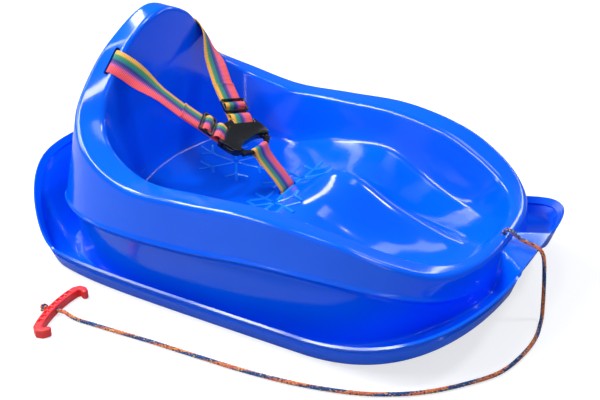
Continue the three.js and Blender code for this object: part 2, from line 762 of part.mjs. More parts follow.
// The slider that doubles a shoulder strap
function strapSlider(side, sliderDistance) {
  const { bar, away, across, up } = strapFrame(side);
  const window = SLIDER_END_BAR + SLIDER_WINDOW_LENGTH / 2 - SLIDER_LENGTH / 2;
  const corner = SLIDER_END_BAR;
  const geometry = plate(
    rectangle(0, 0, SLIDER_LENGTH, SLIDER_WIDTH, corner),
    [-1, 1].map((end) => rectangle(end * window, 0, SLIDER_WINDOW_LENGTH, SLIDER_WINDOW_WIDTH, SLIDER_EDGE)),
    SLIDER_THICKNESS,
    SLIDER_EDGE,
  );
  const height = LAYER_PITCH + STRAP_THICKNESS / 2 + SLIDER_GAP + SLIDER_THICKNESS / 2 - LOOP_RADIUS;
  const ahead = bar.clone().addScaledVector(away, sliderDistance + SLIDER_LENGTH / 2);
  const place = ahead.addScaledVector(up, height);
  const turned = across.clone();
  if (away.clone().cross(turned).dot(up) < 0) turned.negate();
  return geometry.applyMatrix4(frameOf(place, away, turned));
}

// A bar across a slot, on the inside of the shell
function keeperBar(place, along) {
  const turn = new THREE.Quaternion().setFromUnitVectors(vec(0, 1, 0), along);
  return rod(KEEPER_LENGTH, BAR_DIAMETER).applyQuaternion(turn).translate(place.x, place.y, place.z);
}
function shoulderKeeper(side) {
  const { place, rim, out } = shoulderSlot(side);
  return keeperBar(place.clone().addScaledVector(out, -KEEPER_DEPTH), rim);
}
const crotchSlotTop = vec(CROTCH_SLOT_X, 0, floorHeight(CROTCH_SLOT_X, 0));
const crotchKeeperPlace = vec(CROTCH_SLOT_X, 0, crotchSlotTop.z - CROTCH_KEEPER_DEPTH);

// Places round a shoulder strap's bar in the buckle's plane, along the bar and ahead of it
function byBar(along, ahead) {
  const turn = BUCKLE_BAR_TURN * DEGREE;
  const x = BUCKLE_BAR_X + along * Math.sin(turn) + ahead * Math.cos(turn);
  return [x, BUCKLE_BAR_Y + along * Math.cos(turn) - ahead * Math.sin(turn)];
}
const barPocketHalf = STRAP_WIDTH / 2 + BAR_END_CLEARANCE;
const barPocketReach = LOOP_RADIUS + STRAP_THICKNESS / 2 + SEAT_GAP;

// Side and mouth of the housing, as shares of its front reach and of its half width
const HOUSING_FRONT_SHARES = [
  [-0.5, 0.985],
  [0.15, 0.97],
  [0.62, 0.93],
  [0.9, 0.86],
  [1, 0.76],
  [0.8, 0.64],
  [0.58, 0.48],
  [0.45, 0.31],
  [0.43, 0.13],
  [0.45, 0],
];
// Half of the insert's frame and one release arm, as shares of the bar's place and of the half width
const INSERT_SHARES = [
  [1.091, 0.377],
  [1.091, 0.469],
  [0.931, 0.583],
  [0.88, 0.758],
  [0.771, 0.758],
  [0.771, 0.65],
  [0.655, 0.625],
  [0.073, 0.625],
  [0.073, 0.578],
  [0.618, 0.578],
  [0.764, 0.51],
  [0.887, 0.377],
];
const RELEASE_ARM_SHARES = [
  [0.753, 0.685],
  [0.753, 0.748],
  [0.618, 0.83],
  [0.436, 0.93],
  [0.146, 1.01],
  [-0.273, 1.004],
  [-0.273, 0.854],
  [-0.073, 0.775],
  [0.218, 0.738],
  [-0.273, 0.738],
  [-0.273, 0.685],
];
function ofShares(shares, reach, width) {
  return shares.map(([x, y]) => [x * reach, y * width]);
}
function onSide(outline, side) {
  const turned = outline.map(([x, y]) => [x, side * y]);
  return side > 0 ? turned : turned.reverse();
}
function buckleHousing() {
  const rear = byBar(-barPocketHalf, -barPocketReach);
  const half = [
    [rear[0], 0],
    [rear[0], RIB_HALF_WIDTH],
    rear,
    byBar(-barPocketHalf, barPocketReach),
    byBar(barPocketHalf, barPocketReach),
    byBar(barPocketHalf, -BAR_DIAMETER / 2),
    byBar(barPocketHalf + SIDE_WALL, -BAR_DIAMETER / 2),
    ...ofShares(HOUSING_FRONT_SHARES, BUCKLE_FRONT_X, BUCKLE_HALF_WIDTH),
  ];
  const ends = half.slice(1, -1).reverse().map(([x, y]) => [x, -y]);
  let housing = solid(plate([...half, ...ends].reverse(), [], BUCKLE_THICKNESS, BUCKLE_EDGE));
  for (const side of [1, -1]) {
    const channel = new THREE.BoxGeometry(
      CHANNEL_FRONT_X - CHANNEL_REAR_X,
      CHANNEL_OUTER_Y - CHANNEL_INNER_Y,
      CHANNEL_HEIGHT,
    );
    channel.translate(
      (CHANNEL_FRONT_X + CHANNEL_REAR_X) / 2,
      (side * (CHANNEL_OUTER_Y + CHANNEL_INNER_Y)) / 2,
      0,
    );
    const bar = rod(2 * (barPocketHalf + BAR_END_SEAT), BAR_DIAMETER);
    bar.rotateZ(-side * BUCKLE_BAR_TURN * DEGREE);
    bar.translate(BUCKLE_BAR_X, side * BUCKLE_BAR_Y, 0);
    housing = housing.subtract(solid(channel)).add(solid(bar));
  }
  return geometryFrom(housing).applyMatrix4(buckleFrame);
}
function buckleInsert() {
  let insert = solid(rod(INSERT_BAR_LENGTH, BAR_DIAMETER).translate(INSERT_BAR_X, 0, 0));
  const frame = ofShares(INSERT_SHARES, INSERT_BAR_X, BUCKLE_HALF_WIDTH);
  for (const side of [1, -1]) insert = insert.add(solid(plate(onSide(frame, -side), [], TONGUE_THICKNESS, 0)));
  return geometryFrom(insert).applyMatrix4(buckleFrame);
}
function releaseArm(side) {
  const arm = ofShares(RELEASE_ARM_SHARES, INSERT_BAR_X, BUCKLE_HALF_WIDTH);
  return plate(onSide(arm, side), [], TONGUE_THICKNESS, 0).applyMatrix4(buckleFrame);
}

// The crotch strap: sewn loop on the keeper, up through the slot and round the insert's bar, with a sewn end.
function crotchStrap() {
  const bar = vec(INSERT_BAR_X, 0, 0).applyMatrix4(buckleFrame);
  const half = LAYER_PITCH / 2;
  const ahead = vec(1, 0, 0);
  const up = vec(0, 0, 1);
  const exit = crotchSlotTop.clone().addScaledVector(up, STRAP_THICKNESS).addScaledVector(ahead, -half);
  const away = bar.clone().sub(exit);
  away.y = 0;
  away.normalize();
  const face = vec(-away.z, 0, away.x);
  if (face.z < 0) face.negate();
  const low = (f, d) => vec(CROTCH_SLOT_X + f, 0, crotchSlotTop.z - d);
  const nearBar = bar.clone().addScaledVector(away, -3 * LOOP_RADIUS);
  const sewnEnd = bar.clone().addScaledVector(away, -4 * LOOP_RADIUS - TAIL_LENGTH / 4);
  const places = [
    low(half, STRAP_THICKNESS),
    low(half, CROTCH_KEEPER_DEPTH / 2),
    ...aroundBar(crotchKeeperPlace, up, ahead, 75, 285, 8),
    low(-half, CROTCH_KEEPER_DEPTH / 2),
    low(-half, half),
    exit,
    exit.clone().addScaledVector(away, LOOP_RADIUS).addScaledVector(up, half),
    exit.clone().addScaledVector(away, 4 * LOOP_RADIUS).addScaledVector(face, half),
    nearBar.clone().addScaledVector(face, half),
    ...aroundBar(bar, away, face, 110, -110, 8),
    nearBar.clone().addScaledVector(face, -half),
    sewnEnd.clone().addScaledVector(face, -half),
  ];
  const span = bar.x - exit.x;
  const stations = places.map((place) => {
    const shift = THREE.MathUtils.clamp((place.x - exit.x) / span, 0, 1) * BUCKLE_PLACE[1];
    return { place: place.setY(place.y === 0 ? shift : place.y), across: vec(0, 1, 0) };
  });
  return ribbon(stations, STRAP_WIDTH, STRAP_THICKNESS);
}

// Route of the tow rope from the rim's hole over the nose to the handle, by hand from the photo
const ROPE_ROUTE = [
  [314.1, 0, 97],
  [314.1, 0, 105],
  [314.3, 0, 112],
  [316.5, 0, 117.5],
  [321.5, 0, 119.6],
  [328, 0, 116.9],
  [336, 0, 111.5],
  [346.4, 0, 108.3],
  [357, 0, 106.3],
  [365, 0, 102.6],
  [370.4, 0, 95],
  [373, 0, 84],
  [375.2, 0, 64],
  [377, 0, 42],
  [378.8, -2, 20],
  [381.2, -9, 7],
  [383.8, -23, 3.4],
  [388.2, -52, 3.4],
  [387.35, -92, 3.4],
  [374.85, -149, 3.4],
  [342.35, -198, 3.4],
  [306.35, -236, 3.4],
  [266.35, -263, 3.4],
  [233.35, -278, 3.4],
  [173.35, -295, 3.4],
  [107.35, -305, 3.4],
  [35.35, -310, 3.4],
  [-40.65, -314, 3.4],
  [-119.65, -320, 3.4],
  [-160, -322.5, 3.9],
];
const ropePoints = ROPE_ROUTE.map(([x, y, z]) => vec(x, y, z));

function handleFrame() {
  const turn = HANDLE_TURN * DEGREE;
  return frameOf(
    vec(...HANDLE_MIDDLE, HANDLE_THICKNESS / 2),
    vec(Math.cos(turn), Math.sin(turn), 0),
    vec(-Math.sin(turn), Math.cos(turn), 0),
  );
}
// Middle line of the handle's grip and its two hooked tips, as shares of its half length and of its depth
const HANDLE_LINE_SHARES = [
  [-0.9, 0.69],
  [-0.985, 0.46],
  [-0.993, 0.2],
  [-0.9, -0.03],
  [-0.62, -0.2],
  [-0.312, -0.3],
  [0, -0.333],
  [0.312, -0.3],
  [0.62, -0.2],
  [0.9, -0.03],
  [0.993, 0.2],
  [0.985, 0.46],
  [0.9, 0.69],
];
const handleLine = ofShares(HANDLE_LINE_SHARES, HANDLE_HALF_LENGTH, HANDLE_DEPTH);
function pullHandle() {
  const last = handleLine.length - 1;
  const sides = handleLine.map(([x, y], i) => {
    const [before, after] = [handleLine[Math.max(i - 1, 0)], handleLine[Math.min(i + 1, last)]];
    const way = new THREE.Vector2(after[0] - before[0], after[1] - before[1]).normalize();
    const grip = THREE.MathUtils.smoothstep(Math.min(i, last - i), 0, 3);
    const half = THREE.MathUtils.lerp(HANDLE_TIP_WIDTH, HANDLE_GRIP_WIDTH, grip) / 2;
    return [
      [x - way.y * half, y + way.x * half],
      [x + way.y * half, y - way.x * half],
    ];
  });
  const tip = (end, next, from) => {
    const [[x, y], [nextX, nextY]] = [handleLine[end], handleLine[next]];
    const out = Math.atan2(y - nextY, x - nextX);
    return [-60, -30, 0, 30, 60].map((angle) => {
      const turn = out + from * angle * DEGREE;
      return [x + (HANDLE_TIP_WIDTH / 2) * Math.cos(turn), y + (HANDLE_TIP_WIDTH / 2) * Math.sin(turn)];
    });
  };
  const outline = [
    ...sides.map(([, right]) => right),
    ...tip(last, last - 1, 1),
    ...sides.map(([left]) => left).reverse(),
    ...tip(0, 1, 1),
  ];
  let handle = solid(plate(outline, [], HANDLE_THICKNESS, HANDLE_EDGE));
  const bore = rod(6 * HANDLE_GRIP_WIDTH, HANDLE_HOLE_DIAMETER);
  handle = handle.subtract(solid(bore));
  for (let k = 0; k < POCKET_COUNT; k += 1) {
    const along = (k - (POCKET_COUNT - 1) / 2) * POCKET_PITCH;
    const bow = handleLine.findIndex(([x], i) => i > 2 && x >= along);
    const [a, b] = [handleLine[bow - 1], handleLine[bow]];
    const across = THREE.MathUtils.lerp(a[1], b[1], (along - a[0]) / (b[0] - a[0]));
    for (const face of [1, -1]) {
      const pocket = new THREE.BoxGeometry(POCKET_LENGTH, POCKET_WIDTH, 2 * POCKET_DEPTH);
      pocket.translate(along, across, (face * HANDLE_THICKNESS) / 2);
      handle = handle.subtract(solid(pocket));
    }
  }
  return geometryFrom(handle).applyMatrix4(handleFrame());
}

// A knot as a rounded body at the end of the rope
function knot(place, along) {
  const ball = new THREE.SphereGeometry(KNOT_DIAMETER / 2, 14, 10);
  ball.scale(1, KNOT_LENGTH / KNOT_DIAMETER, 1);
  const turn = new THREE.Quaternion().setFromUnitVectors(vec(0, 1, 0), along);
  return ball.applyQuaternion(turn).translate(place.x, place.y, place.z);
}
function towRope() {
  const frame = handleFrame();
  const bow = handleLine.find(([x]) => x === 0)[1];
  const throughHandle = [4, 1.2].map((share) => vec(0, bow + share * HANDLE_GRIP_WIDTH, 0).applyMatrix4(frame));
  const end = vec(0, bow - HANDLE_GRIP_WIDTH / 2 - STRAP_THICKNESS, 0).applyMatrix4(frame);
  const curve = new THREE.CatmullRomCurve3([...ropePoints, throughHandle[1], end], false, "centripetal");
  const steps = [];
  const count = ropePoints.length + 1;
  for (let i = 0; i < count; i += 1) {
    const [a, b] = [curve.points[i], curve.points[i + 1]];
    const pieces = Math.max(1, Math.round(a.distanceTo(b) / ROPE_STEP));
    for (let k = 0; k < pieces; k += 1) steps.push(curve.getPoint((i + k / pieces) / count));
  }
  steps.push(end);
  return tube(steps, ROPE_DIAMETER / 2, ROPE_SIDES);
}
function ropeStopKnot() {
  const top = ropePoints[0].clone();
  return knot(top.setZ(top.z - KNOT_LENGTH / 2 - SEAT_GAP), vec(0, 0, 1));
}
function handleKnot() {
  const frame = handleFrame();
  const bow = handleLine.find(([x]) => x === 0)[1];
  const reach = bow - HANDLE_GRIP_WIDTH / 2 - STRAP_THICKNESS - SEAT_GAP - KNOT_LENGTH / 2;
  const place = vec(0, reach, 0).applyMatrix4(frame);
  return knot(place, vec(0, 1, 0).transformDirection(frame));
}

const sled = new THREE.Group();
const shellBlue = new THREE.MeshStandardMaterial({ color: 0x0069ff, roughness: 0.25, metalness: 0 });
const webbing = new THREE.MeshStandardMaterial({ color: 0xb0607a, roughness: 0.85, metalness: 0 });
const charcoal = new THREE.MeshStandardMaterial({ color: 0x2b2b2b, roughness: 0.5, metalness: 0 });
const handleRed = new THREE.MeshStandardMaterial({ color: 0xf03c3c, roughness: 0.35, metalness: 0 });
const ropeBraid = new THREE.MeshStandardMaterial({ color: 0xa06a6a, roughness: 0.9, metalness: 0 });

function addPiece(name, geometry, material, parent = sled) {
  const mesh = new THREE.Mesh(geometry, material);
  mesh.name = name;
  parent.add(mesh);
  return mesh;
}

addPiece("hull_shell", hullShell(), shellBlue);
for (const [name, side, distance] of [
  ["left", 1, LEFT_SLIDER_DISTANCE],
  ["right", -1, RIGHT_SLIDER_DISTANCE],
]) {
  addPiece(`${name}_shoulder_strap`, shoulderStrap(side, distance), webbing);
  addPiece(`${name}_strap_slider`, strapSlider(side, distance), charcoal);
  addPiece(`${name}_strap_keeper`, shoulderKeeper(side), charcoal);
  addPiece(`buckle_${name}_release_arm`, releaseArm(side), charcoal);
}
addPiece("buckle_housing", buckleHousing(), charcoal);
addPiece("buckle_insert", buckleInsert(), charcoal);
addPiece("crotch_strap", crotchStrap(), webbing);
addPiece("crotch_strap_keeper", keeperBar(crotchKeeperPlace, vec(0, 1, 0)), charcoal);
addPiece("tow_rope", towRope(), ropeBraid);
addPiece("rope_stop_knot", ropeStopKnot(), ropeBraid);
addPiece("pull_handle", pullHandle(), handleRed);
addPiece("handle_knot", handleKnot(), ropeBraid);

export default sled;
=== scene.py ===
# %% [markdown]
# # Baby pull sled
# A moulded sled for a toddler: one glossy shell with a bucket seat, a rainbow webbing harness with a side-release
# buckle, and a braided tow rope with a red pull handle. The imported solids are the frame, and every fine piece made
# here lies exactly where its solid lies. Lengths below are millimetres, and meshes become metres at the end.

# %% Load the frame
import bpy, bmesh, math
import numpy as np
from mathutils import Matrix, Vector
from mathutils.bvhtree import BVHTree


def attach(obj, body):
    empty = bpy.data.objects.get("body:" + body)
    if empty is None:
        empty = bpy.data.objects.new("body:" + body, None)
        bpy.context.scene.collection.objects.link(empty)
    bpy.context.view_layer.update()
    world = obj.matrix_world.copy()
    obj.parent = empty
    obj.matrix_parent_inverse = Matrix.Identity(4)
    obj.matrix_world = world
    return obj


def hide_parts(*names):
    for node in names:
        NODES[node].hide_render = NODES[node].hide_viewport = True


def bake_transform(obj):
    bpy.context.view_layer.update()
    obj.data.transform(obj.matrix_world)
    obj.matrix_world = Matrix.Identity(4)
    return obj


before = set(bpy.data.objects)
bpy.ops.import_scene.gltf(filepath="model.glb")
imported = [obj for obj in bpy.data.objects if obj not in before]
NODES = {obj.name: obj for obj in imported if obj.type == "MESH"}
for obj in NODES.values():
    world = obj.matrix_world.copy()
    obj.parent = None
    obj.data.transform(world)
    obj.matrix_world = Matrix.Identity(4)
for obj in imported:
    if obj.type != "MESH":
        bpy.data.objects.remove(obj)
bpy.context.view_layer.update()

scene = bpy.context.scene
MM = 0.001
X, Y, Z = np.eye(3)
print("solids in the frame:", len(NODES))

# %% [markdown]
# The camera stands to the right of the nose and looks down on the sled, as in the photograph. It could be aimed with
# a Track To constraint or with angles. Here its three axes are written out, because they come straight from fitting
# the view to the photograph, and a fitted view is easier to repeat from axes.

# %% Camera
SENSOR_WIDTH, FOCAL_LENGTH = 36.0, 62.04
CAMERA_RIGHT, CAMERA_UP = (0.86353, 0.5043, 0.0), (-0.22821, 0.39078, 0.89175)
CAMERA_BACK, CAMERA_PLACE = (0.44971, -0.77005, 0.45253), (0.68827, -1.1767, 0.77347)


def link_new(name, data):
    obj = bpy.data.objects.new(name, data)
    scene.collection.objects.link(obj)
    return obj


camera_data = bpy.data.cameras.new("camera")
camera_data.sensor_width, camera_data.lens = SENSOR_WIDTH, FOCAL_LENGTH
scene.camera = link_new("camera", camera_data)
scene.camera.matrix_world = Matrix([*zip(CAMERA_RIGHT, CAMERA_UP, CAMERA_BACK, CAMERA_PLACE), (0, 0, 0, 1)])
print("camera at", CAMERA_PLACE)

# %% [markdown]
# Points and directions are numpy arrays. These small helpers ease between two values, give unit directions and bend
# a smooth curve through given points. Blender's own curves could do that too, but here the same maths also draws the
# sections of the shell and carries the straps, and numpy keeps it short.

# %% Vector helpers
def clamp(value, low, high):
    return max(low, min(high, value))


def smooth(value, low, high):
    share = clamp((value - low) / (high - low), 0.0, 1.0)
    return share * share * (3 - 2 * share)


def unit(v):
    return v / np.linalg.norm(v)


def between(a, b, steps):
    return [a + (b - a) * k / steps for k in range(1, steps)]


def hermite(t, start, leaving, end, arriving):
    """A point on the curve from start to end, which leaves and arrives with the given slopes."""
    return ((2 * t ** 3 - 3 * t * t + 1) * start + (t ** 3 - 2 * t * t + t) * leaving
            + (3 * t * t - 2 * t ** 3) * end + (t ** 3 - t * t) * arriving)


def stretch(points, i, power):
    """Start, slope, end and slope of the i-th stretch of a smooth curve through all points."""
    last = len(points) - 1
    p = [points[min(max(k, 0), last)] for k in (i - 1, i, i + 1, i + 2)]
    d = [max(np.linalg.norm(p[k + 1] - p[k]), 1e-6) ** power for k in range(3)]
    leaving = arriving = p[2] - p[1]
    if i > 0:
        leaving = leaving + d[1] * ((p[1] - p[0]) / d[0] - (p[2] - p[0]) / (d[0] + d[1]))
    if i < last - 1:
        arriving = arriving + d[1] * ((p[3] - p[2]) / d[2] - (p[3] - p[1]) / (d[1] + d[2]))
    return p[1], leaving, p[2], arriving


def evenly(points, step):
    """The same line with a point at every step, and its length."""
    run = np.concatenate([[0], np.cumsum(np.linalg.norm(np.diff(points, axis=0), axis=1))])
    places = np.linspace(0, run[-1], int(run[-1] / step) + 1)
    return np.stack([np.interp(places, run, points[:, k]) for k in range(3)], 1), run[-1]


print("halfway on an ease:", smooth(0.5, 0, 1))

# %% [markdown]
# The rope comes first, because its route decides how much room the sled needs on the floor. It leaves the hole in
# the front rim, bends over the lip, falls to the ground and lies in one long loose curve to the handle. A simulated
# rope would land somewhere else each time a value changes, so the route is a list of points read off the photograph.

# %% Route of the rope
ROPE_DIAMETER, BRAID_STEP = 6.0, 1.0
HANDLE_MIDDLE, HANDLE_LIFT, HANDLE_TURN = (-190.5, -322.5), 6.5, math.radians(-78.3)
HANDLE_BOW, HANDLE_BACK, ROPE_AHEAD = -7.0, 7.5, 14.4
CENTRIPETAL = 0.5
ROUTE = [(314.1, 0, 97), (314.1, 0, 105), (314.3, 0, 112), (316.5, 0, 117.5), (321.5, 0, 119.6), (328, 0, 116.9),
         (336, 0, 111.5), (346.4, 0, 108.3), (357, 0, 106.3), (365, 0, 102.6), (370.4, 0, 95), (373, 0, 84),
         (375.2, 0, 64), (377, 0, 42), (378.8, -2, 20), (381.2, -9, 7), (383.8, -23, 3.4), (388.2, -52, 3.4),
         (387.35, -92, 3.4), (374.85, -149, 3.4), (342.35, -198, 3.4), (306.35, -236, 3.4), (266.35, -263, 3.4),
         (233.35, -278, 3.4), (173.35, -295, 3.4), (107.35, -305, 3.4), (35.35, -310, 3.4), (-40.65, -314, 3.4),
         (-119.65, -320, 3.4), (-160, -322.5, 3.9)]
handle_out = np.array([-math.sin(HANDLE_TURN), math.cos(HANDLE_TURN), 0.0])
handle_place = np.array([*HANDLE_MIDDLE, HANDLE_LIFT])
route = [np.array(p, float) for p in ROUTE]
route += [handle_place + handle_out * (HANDLE_BOW + reach) for reach in (ROPE_AHEAD, -HANDLE_BACK)]


def spline(points, steps):
    stretches = [stretch(points, i, CENTRIPETAL) for i in range(len(points) - 1)]
    return np.array([*(hermite(t, *ends) for ends in stretches for t in np.arange(steps) / steps), points[-1]])


rope_line, rope_length = evenly(spline(route, 40), BRAID_STEP)
print("rope length in mm:", round(rope_length, 1))

# %% [markdown]
# Surfaces are written as sums on values that vary over them. Nodes could be made and wired one by one, as in the
# Shader Editor, but that takes a dozen lines for one sine. One small class wraps a socket, and each operator adds its
# Math node, so that a weave or a braid reads like the formula it is. Every other node comes from `add`.

# %% Node maths
def add(tree, kind, settings=None, inputs=None, output=0):
    node = tree.nodes.new(kind)
    for name, value in (settings or {}).items():
        if name == "stops":
            ramp = node.color_ramp
            while len(ramp.elements) < len(value):
                ramp.elements.new(1.0)
            for element, (place, colour) in zip(ramp.elements, value):
                element.position, element.color = place, (*colour, 1)
        else:
            setattr(node, name, value)
    for name, value in (inputs or {}).items():
        if isinstance(value, Field):
            tree.links.new(value.socket, node.inputs[name])
        else:
            node.inputs[name].default_value = value
    return Field(tree, node.outputs[output])


class Field:
    """A value that varies over a surface or along a curve."""

    def __init__(self, tree, socket):
        self.tree, self.socket = tree, socket

    def math(self, operation, *others):
        return add(self.tree, "ShaderNodeMath", {"operation": operation}, dict(enumerate((self, *others))))

    def __add__(self, other):
        return self.math("ADD", other)

    def __sub__(self, other):
        return self.math("SUBTRACT", other)

    def __rsub__(self, other):
        return self * -1 + other

    def __mul__(self, other):
        return self.math("MULTIPLY", other)

    def __truediv__(self, other):
        return self.math("DIVIDE", other)

    __radd__, __rmul__ = __add__, __mul__

    def ease(self, low, high):
        """0 below low, 1 above high and a soft step between them."""
        settings = {"interpolation_type": "SMOOTHSTEP"}
        return add(self.tree, "ShaderNodeMapRange", settings, {"Value": self, "From Min": low, "From Max": high})


print("node maths ready")

# %% [markdown]
# A few nodes come back in nearly every finish, so each gets a short name: noise, a mix of two colours, and a bump.
# Colours are written as the screen shows them, and turned into the linear numbers that the renderer works with.

# %% Nodes used in every finish
def new_material(name):
    material = bpy.data.materials.new(name)
    material.use_nodes = True
    surface = next(n for n in material.node_tree.nodes if n.type == "BSDF_PRINCIPLED")
    return material, material.node_tree, surface


def feed(surface, **fields):
    for name, field in fields.items():
        field.tree.links.new(field.socket, surface.inputs[name.replace("_", " ")])


def noise(tree, place, scale, detail=2.0):
    return add(tree, "ShaderNodeTexNoise", {}, {"Vector": place, "Scale": scale, "Detail": detail})


def mixed(tree, share, a, b, blend="MIX"):
    colours = [v if isinstance(v, Field) else (*v, 1) for v in (a, b)]
    settings = {"data_type": "RGBA", "blend_type": blend}
    return add(tree, "ShaderNodeMix", settings, {0: share, 6: colours[0], 7: colours[1]}, 2)


def bumped(tree, height, strength, distance):
    return add(tree, "ShaderNodeBump", {}, {"Height": height, "Strength": strength, "Distance": distance})


def screen(*levels):
    """A colour as the screen shows it, from 0 to 255, as the renderer's own numbers."""
    return tuple(c / 12.92 if c < 0.04045 else ((c + 0.055) / 1.055) ** 2.4 for c in (v / 255 for v in levels))


print("mid grey on the screen is", round(screen(128)[0], 3), "in the renderer")

# %% [markdown]
# Moulded plastic is never one flat colour: the pigment clouds a little, the gloss changes from place to place and
# the surface keeps a very fine grain. A photograph of plastic could be wrapped round the shell, but noise in three
# dimensions needs no unwrapping and has no seams. The shell also gets scuffed where it slides on the snow.

# %% Plastic materials
CLOUD_SCALE, GLOSS_SPREAD, GRAIN_STRENGTH = 7.0, 0.06, 0.25
SCUFF_STRETCH, SCUFF_START, SCUFF_TOP, SCUFF_COLOUR = (4.0, 260.0, 260.0), 0.0005, 0.004, screen(130, 160, 220)


def plastic(name, colour, cloud, roughness, grain, depth, specular=0.5, sole=False):
    """Grain is the number of grains in a metre, and depth their depth in metres."""
    material, tree, surface = new_material(name)
    place = add(tree, "ShaderNodeTexCoord", output=3)
    clouds = noise(tree, place, CLOUD_SCALE, 3.0)
    tone = mixed(tree, clouds.ease(0.35, 0.65), colour, cloud)
    rough = clouds * GLOSS_SPREAD + (roughness - GLOSS_SPREAD / 2)
    if sole:
        height = add(tree, "ShaderNodeSeparateXYZ", {}, {0: place}, 2)
        stretched = add(tree, "ShaderNodeMapping", {}, {"Vector": place, "Scale": SCUFF_STRETCH})
        scuffs = noise(tree, stretched, 1.0, 4.0).ease(0.52, 0.66) * (1 - height.ease(SCUFF_START, SCUFF_TOP))
        tone = mixed(tree, scuffs * 0.5, tone, SCUFF_COLOUR)
        rough = rough + scuffs * 0.3
    fine = bumped(tree, noise(tree, place, grain), GRAIN_STRENGTH, depth)
    feed(surface, Base_Color=tone, Roughness=rough, Normal=fine)
    surface.inputs["Specular IOR Level"].default_value = specular
    return material


SHELL_BLUE = plastic("shell_blue", (0.0, 0.108, 0.9), (0.0, 0.118, 0.93), 0.12, 260, 0.00003, 0.42, sole=True)
# The snowflake ribs are moulded from the shell's own plastic; their lighter, greener blue is a painted highlight for
# the light the raised ribs catch.
RIB_BLUE_PAINTED_HIGHLIGHT = plastic("rib_blue_painted_highlight", (0.004, 0.19, 0.96), (0.006, 0.21, 0.98), 0.16, 260, 0.00003)
CHARCOAL = plastic("buckle_charcoal", screen(14, 14, 16), screen(20, 20, 22), 0.24, 900, 0.00004)
RED = plastic("handle_red", screen(236, 40, 44), screen(244, 54, 54), 0.36, 500, 0.00006)
print("plastics:", [m.name for m in (SHELL_BLUE, RIB_BLUE_PAINTED_HIGHLIGHT, CHARCOAL, RED)])

# %% [markdown]
# The shell is one skin. It could be pulled from a cube with subdivision, but its rim, shoulder and lip run in unbroken
# lines that are easier to steer as numbers. Its form is held in three rings that run once round the sled: the outer
# edge of the rim, the inner edge and the foot of the wall inside. Each row is a place on the ring, as shares of half
# the length, half the width and the height of the backrest, from the nose to the back. Two more tables give the
# floor's heights along the middle.

# %% Sizes of the shell
LENGTH, WIDTH, HEIGHT, SKIN = 731.0, 497.0, 342.0, 3.5
HALF_LENGTH, HALF_WIDTH = LENGTH / 2, WIDTH / 2
WALL_FLARE, REAR_WALL_FLARE, SHOULDER_IN, SHOULDER_DOWN, BASE_IN = 0.12, 0.22, 9.0, 8.0, 9.0
LIP_FLARE, LIP_HEIGHT, BAND_HEIGHT, BAND_FLARE, LEDGE_IN, LEDGE_RISE = 10.0, 33.0, 17.0, 5.5, 1.2, 3.0
BEAD_HEIGHT, BEAD_OUT = 6.0, 2.8
BRIM_CENTRE, NOSE_POWER, TAIL_POWER = 125.0, 3.5, 5.9
NOSE_RISE, NOSE_RUN, TAIL_RISE, TAIL_RUN = 67.0, 213.0, 109.0, 83.0
PLATFORM_TOP, PLATFORM_DROP, PLATFORM_POWER = 106.0, 8.0, 6
PLATFORM_HALF, PLATFORM_SPREAD, PLATFORM_EDGE = 24.0, 36.0, 27.0
SPINE_REAR, SPINE_FRONT, FOOT_FILLET = -130.0, 170.0, 24.0
OUTER_EDGE = [
    (0.884, 0, 0.33), (0.865, 0.342, 0.325), (0.79, 0.604, 0.339), (0.657, 0.769, 0.398), (0.46, 0.865, 0.468),
    (0.183, 0.918, 0.508), (-0.111, 0.944, 0.493), (-0.372, 0.938, 0.487), (-0.585, 0.858, 0.553),
    (-0.724, 0.69, 0.645), (-0.759, 0.512, 0.762), (-0.742, 0.314, 0.897), (-0.722, 0, 1)]
INNER_EDGE = [
    (0.835, 0, 0.326), (0.809, 0.317, 0.325), (0.727, 0.523, 0.347), (0.592, 0.642, 0.398), (0.405, 0.722, 0.458),
    (0.165, 0.757, 0.494), (-0.087, 0.777, 0.489), (-0.338, 0.785, 0.489), (-0.54, 0.706, 0.556),
    (-0.638, 0.588, 0.655), (-0.652, 0.443, 0.793), (-0.64, 0.25, 0.93), (-0.635, 0, 0.985)]
WALL_FOOT = [
    (0.785, 0, 0.24), (0.755, 0.3, 0.234), (0.668, 0.463, 0.216), (0.547, 0.555, 0.204), (0.383, 0.633, 0.238),
    (0.159, 0.684, 0.33), (-0.079, 0.692, 0.318), (-0.315, 0.688, 0.25), (-0.488, 0.604, 0.266),
    (-0.566, 0.463, 0.285), (-0.596, 0.322, 0.298), (-0.607, 0.165, 0.31), (-0.61, 0, 0.316)]
SHOULDER = [0.225, 0.222, 0.237, 0.275, 0.308, 0.318, 0.298, 0.287, 0.277, 0.275, 0.275, 0.275, 0.275]
FLOOR = [
    (-0.64, 0.272), (-0.42, 0.252), (-0.28, 0.248), (-0.17, 0.253), (-0.05, 0.274), (0.08, 0.302), (0.16, 0.3),
    (0.25, 0.268), (0.33, 0.232), (0.41, 0.204), (0.49, 0.19), (0.58, 0.187), (0.67, 0.193), (0.8, 0.22)]
HUMP = [
    (-0.13, 0), (-0.05, 0.01), (0.02, 0.04), (0.08, 0.07), (0.14, 0.104), (0.2, 0.132), (0.26, 0.149),
    (0.32, 0.149), (0.4, 0.132), (0.49, 0.108), (0.58, 0.076), (0.67, 0.038), (0.74, 0.008), (0.78, 0)]


def ring(table):
    """A smooth closed line through a table's rows, read by its turn in degrees from the nose."""
    half = np.array(table, float) * [HALF_LENGTH, HALF_WIDTH, HEIGHT]
    rows = np.vstack([half, (half[1:-1] * [1, -1, 1])[::-1]])
    count = len(rows)

    def at(turn):
        i, f = divmod(turn / 360.0 * count, 1.0)
        a, b, c, d = (rows[(int(i) + k - 1) % count] for k in range(4))
        return 0.5 * (2 * b + (c - a) * f + (2 * a - 5 * b + 4 * c - d) * f * f + (3 * b - a - 3 * c + d) * f ** 3)

    return at


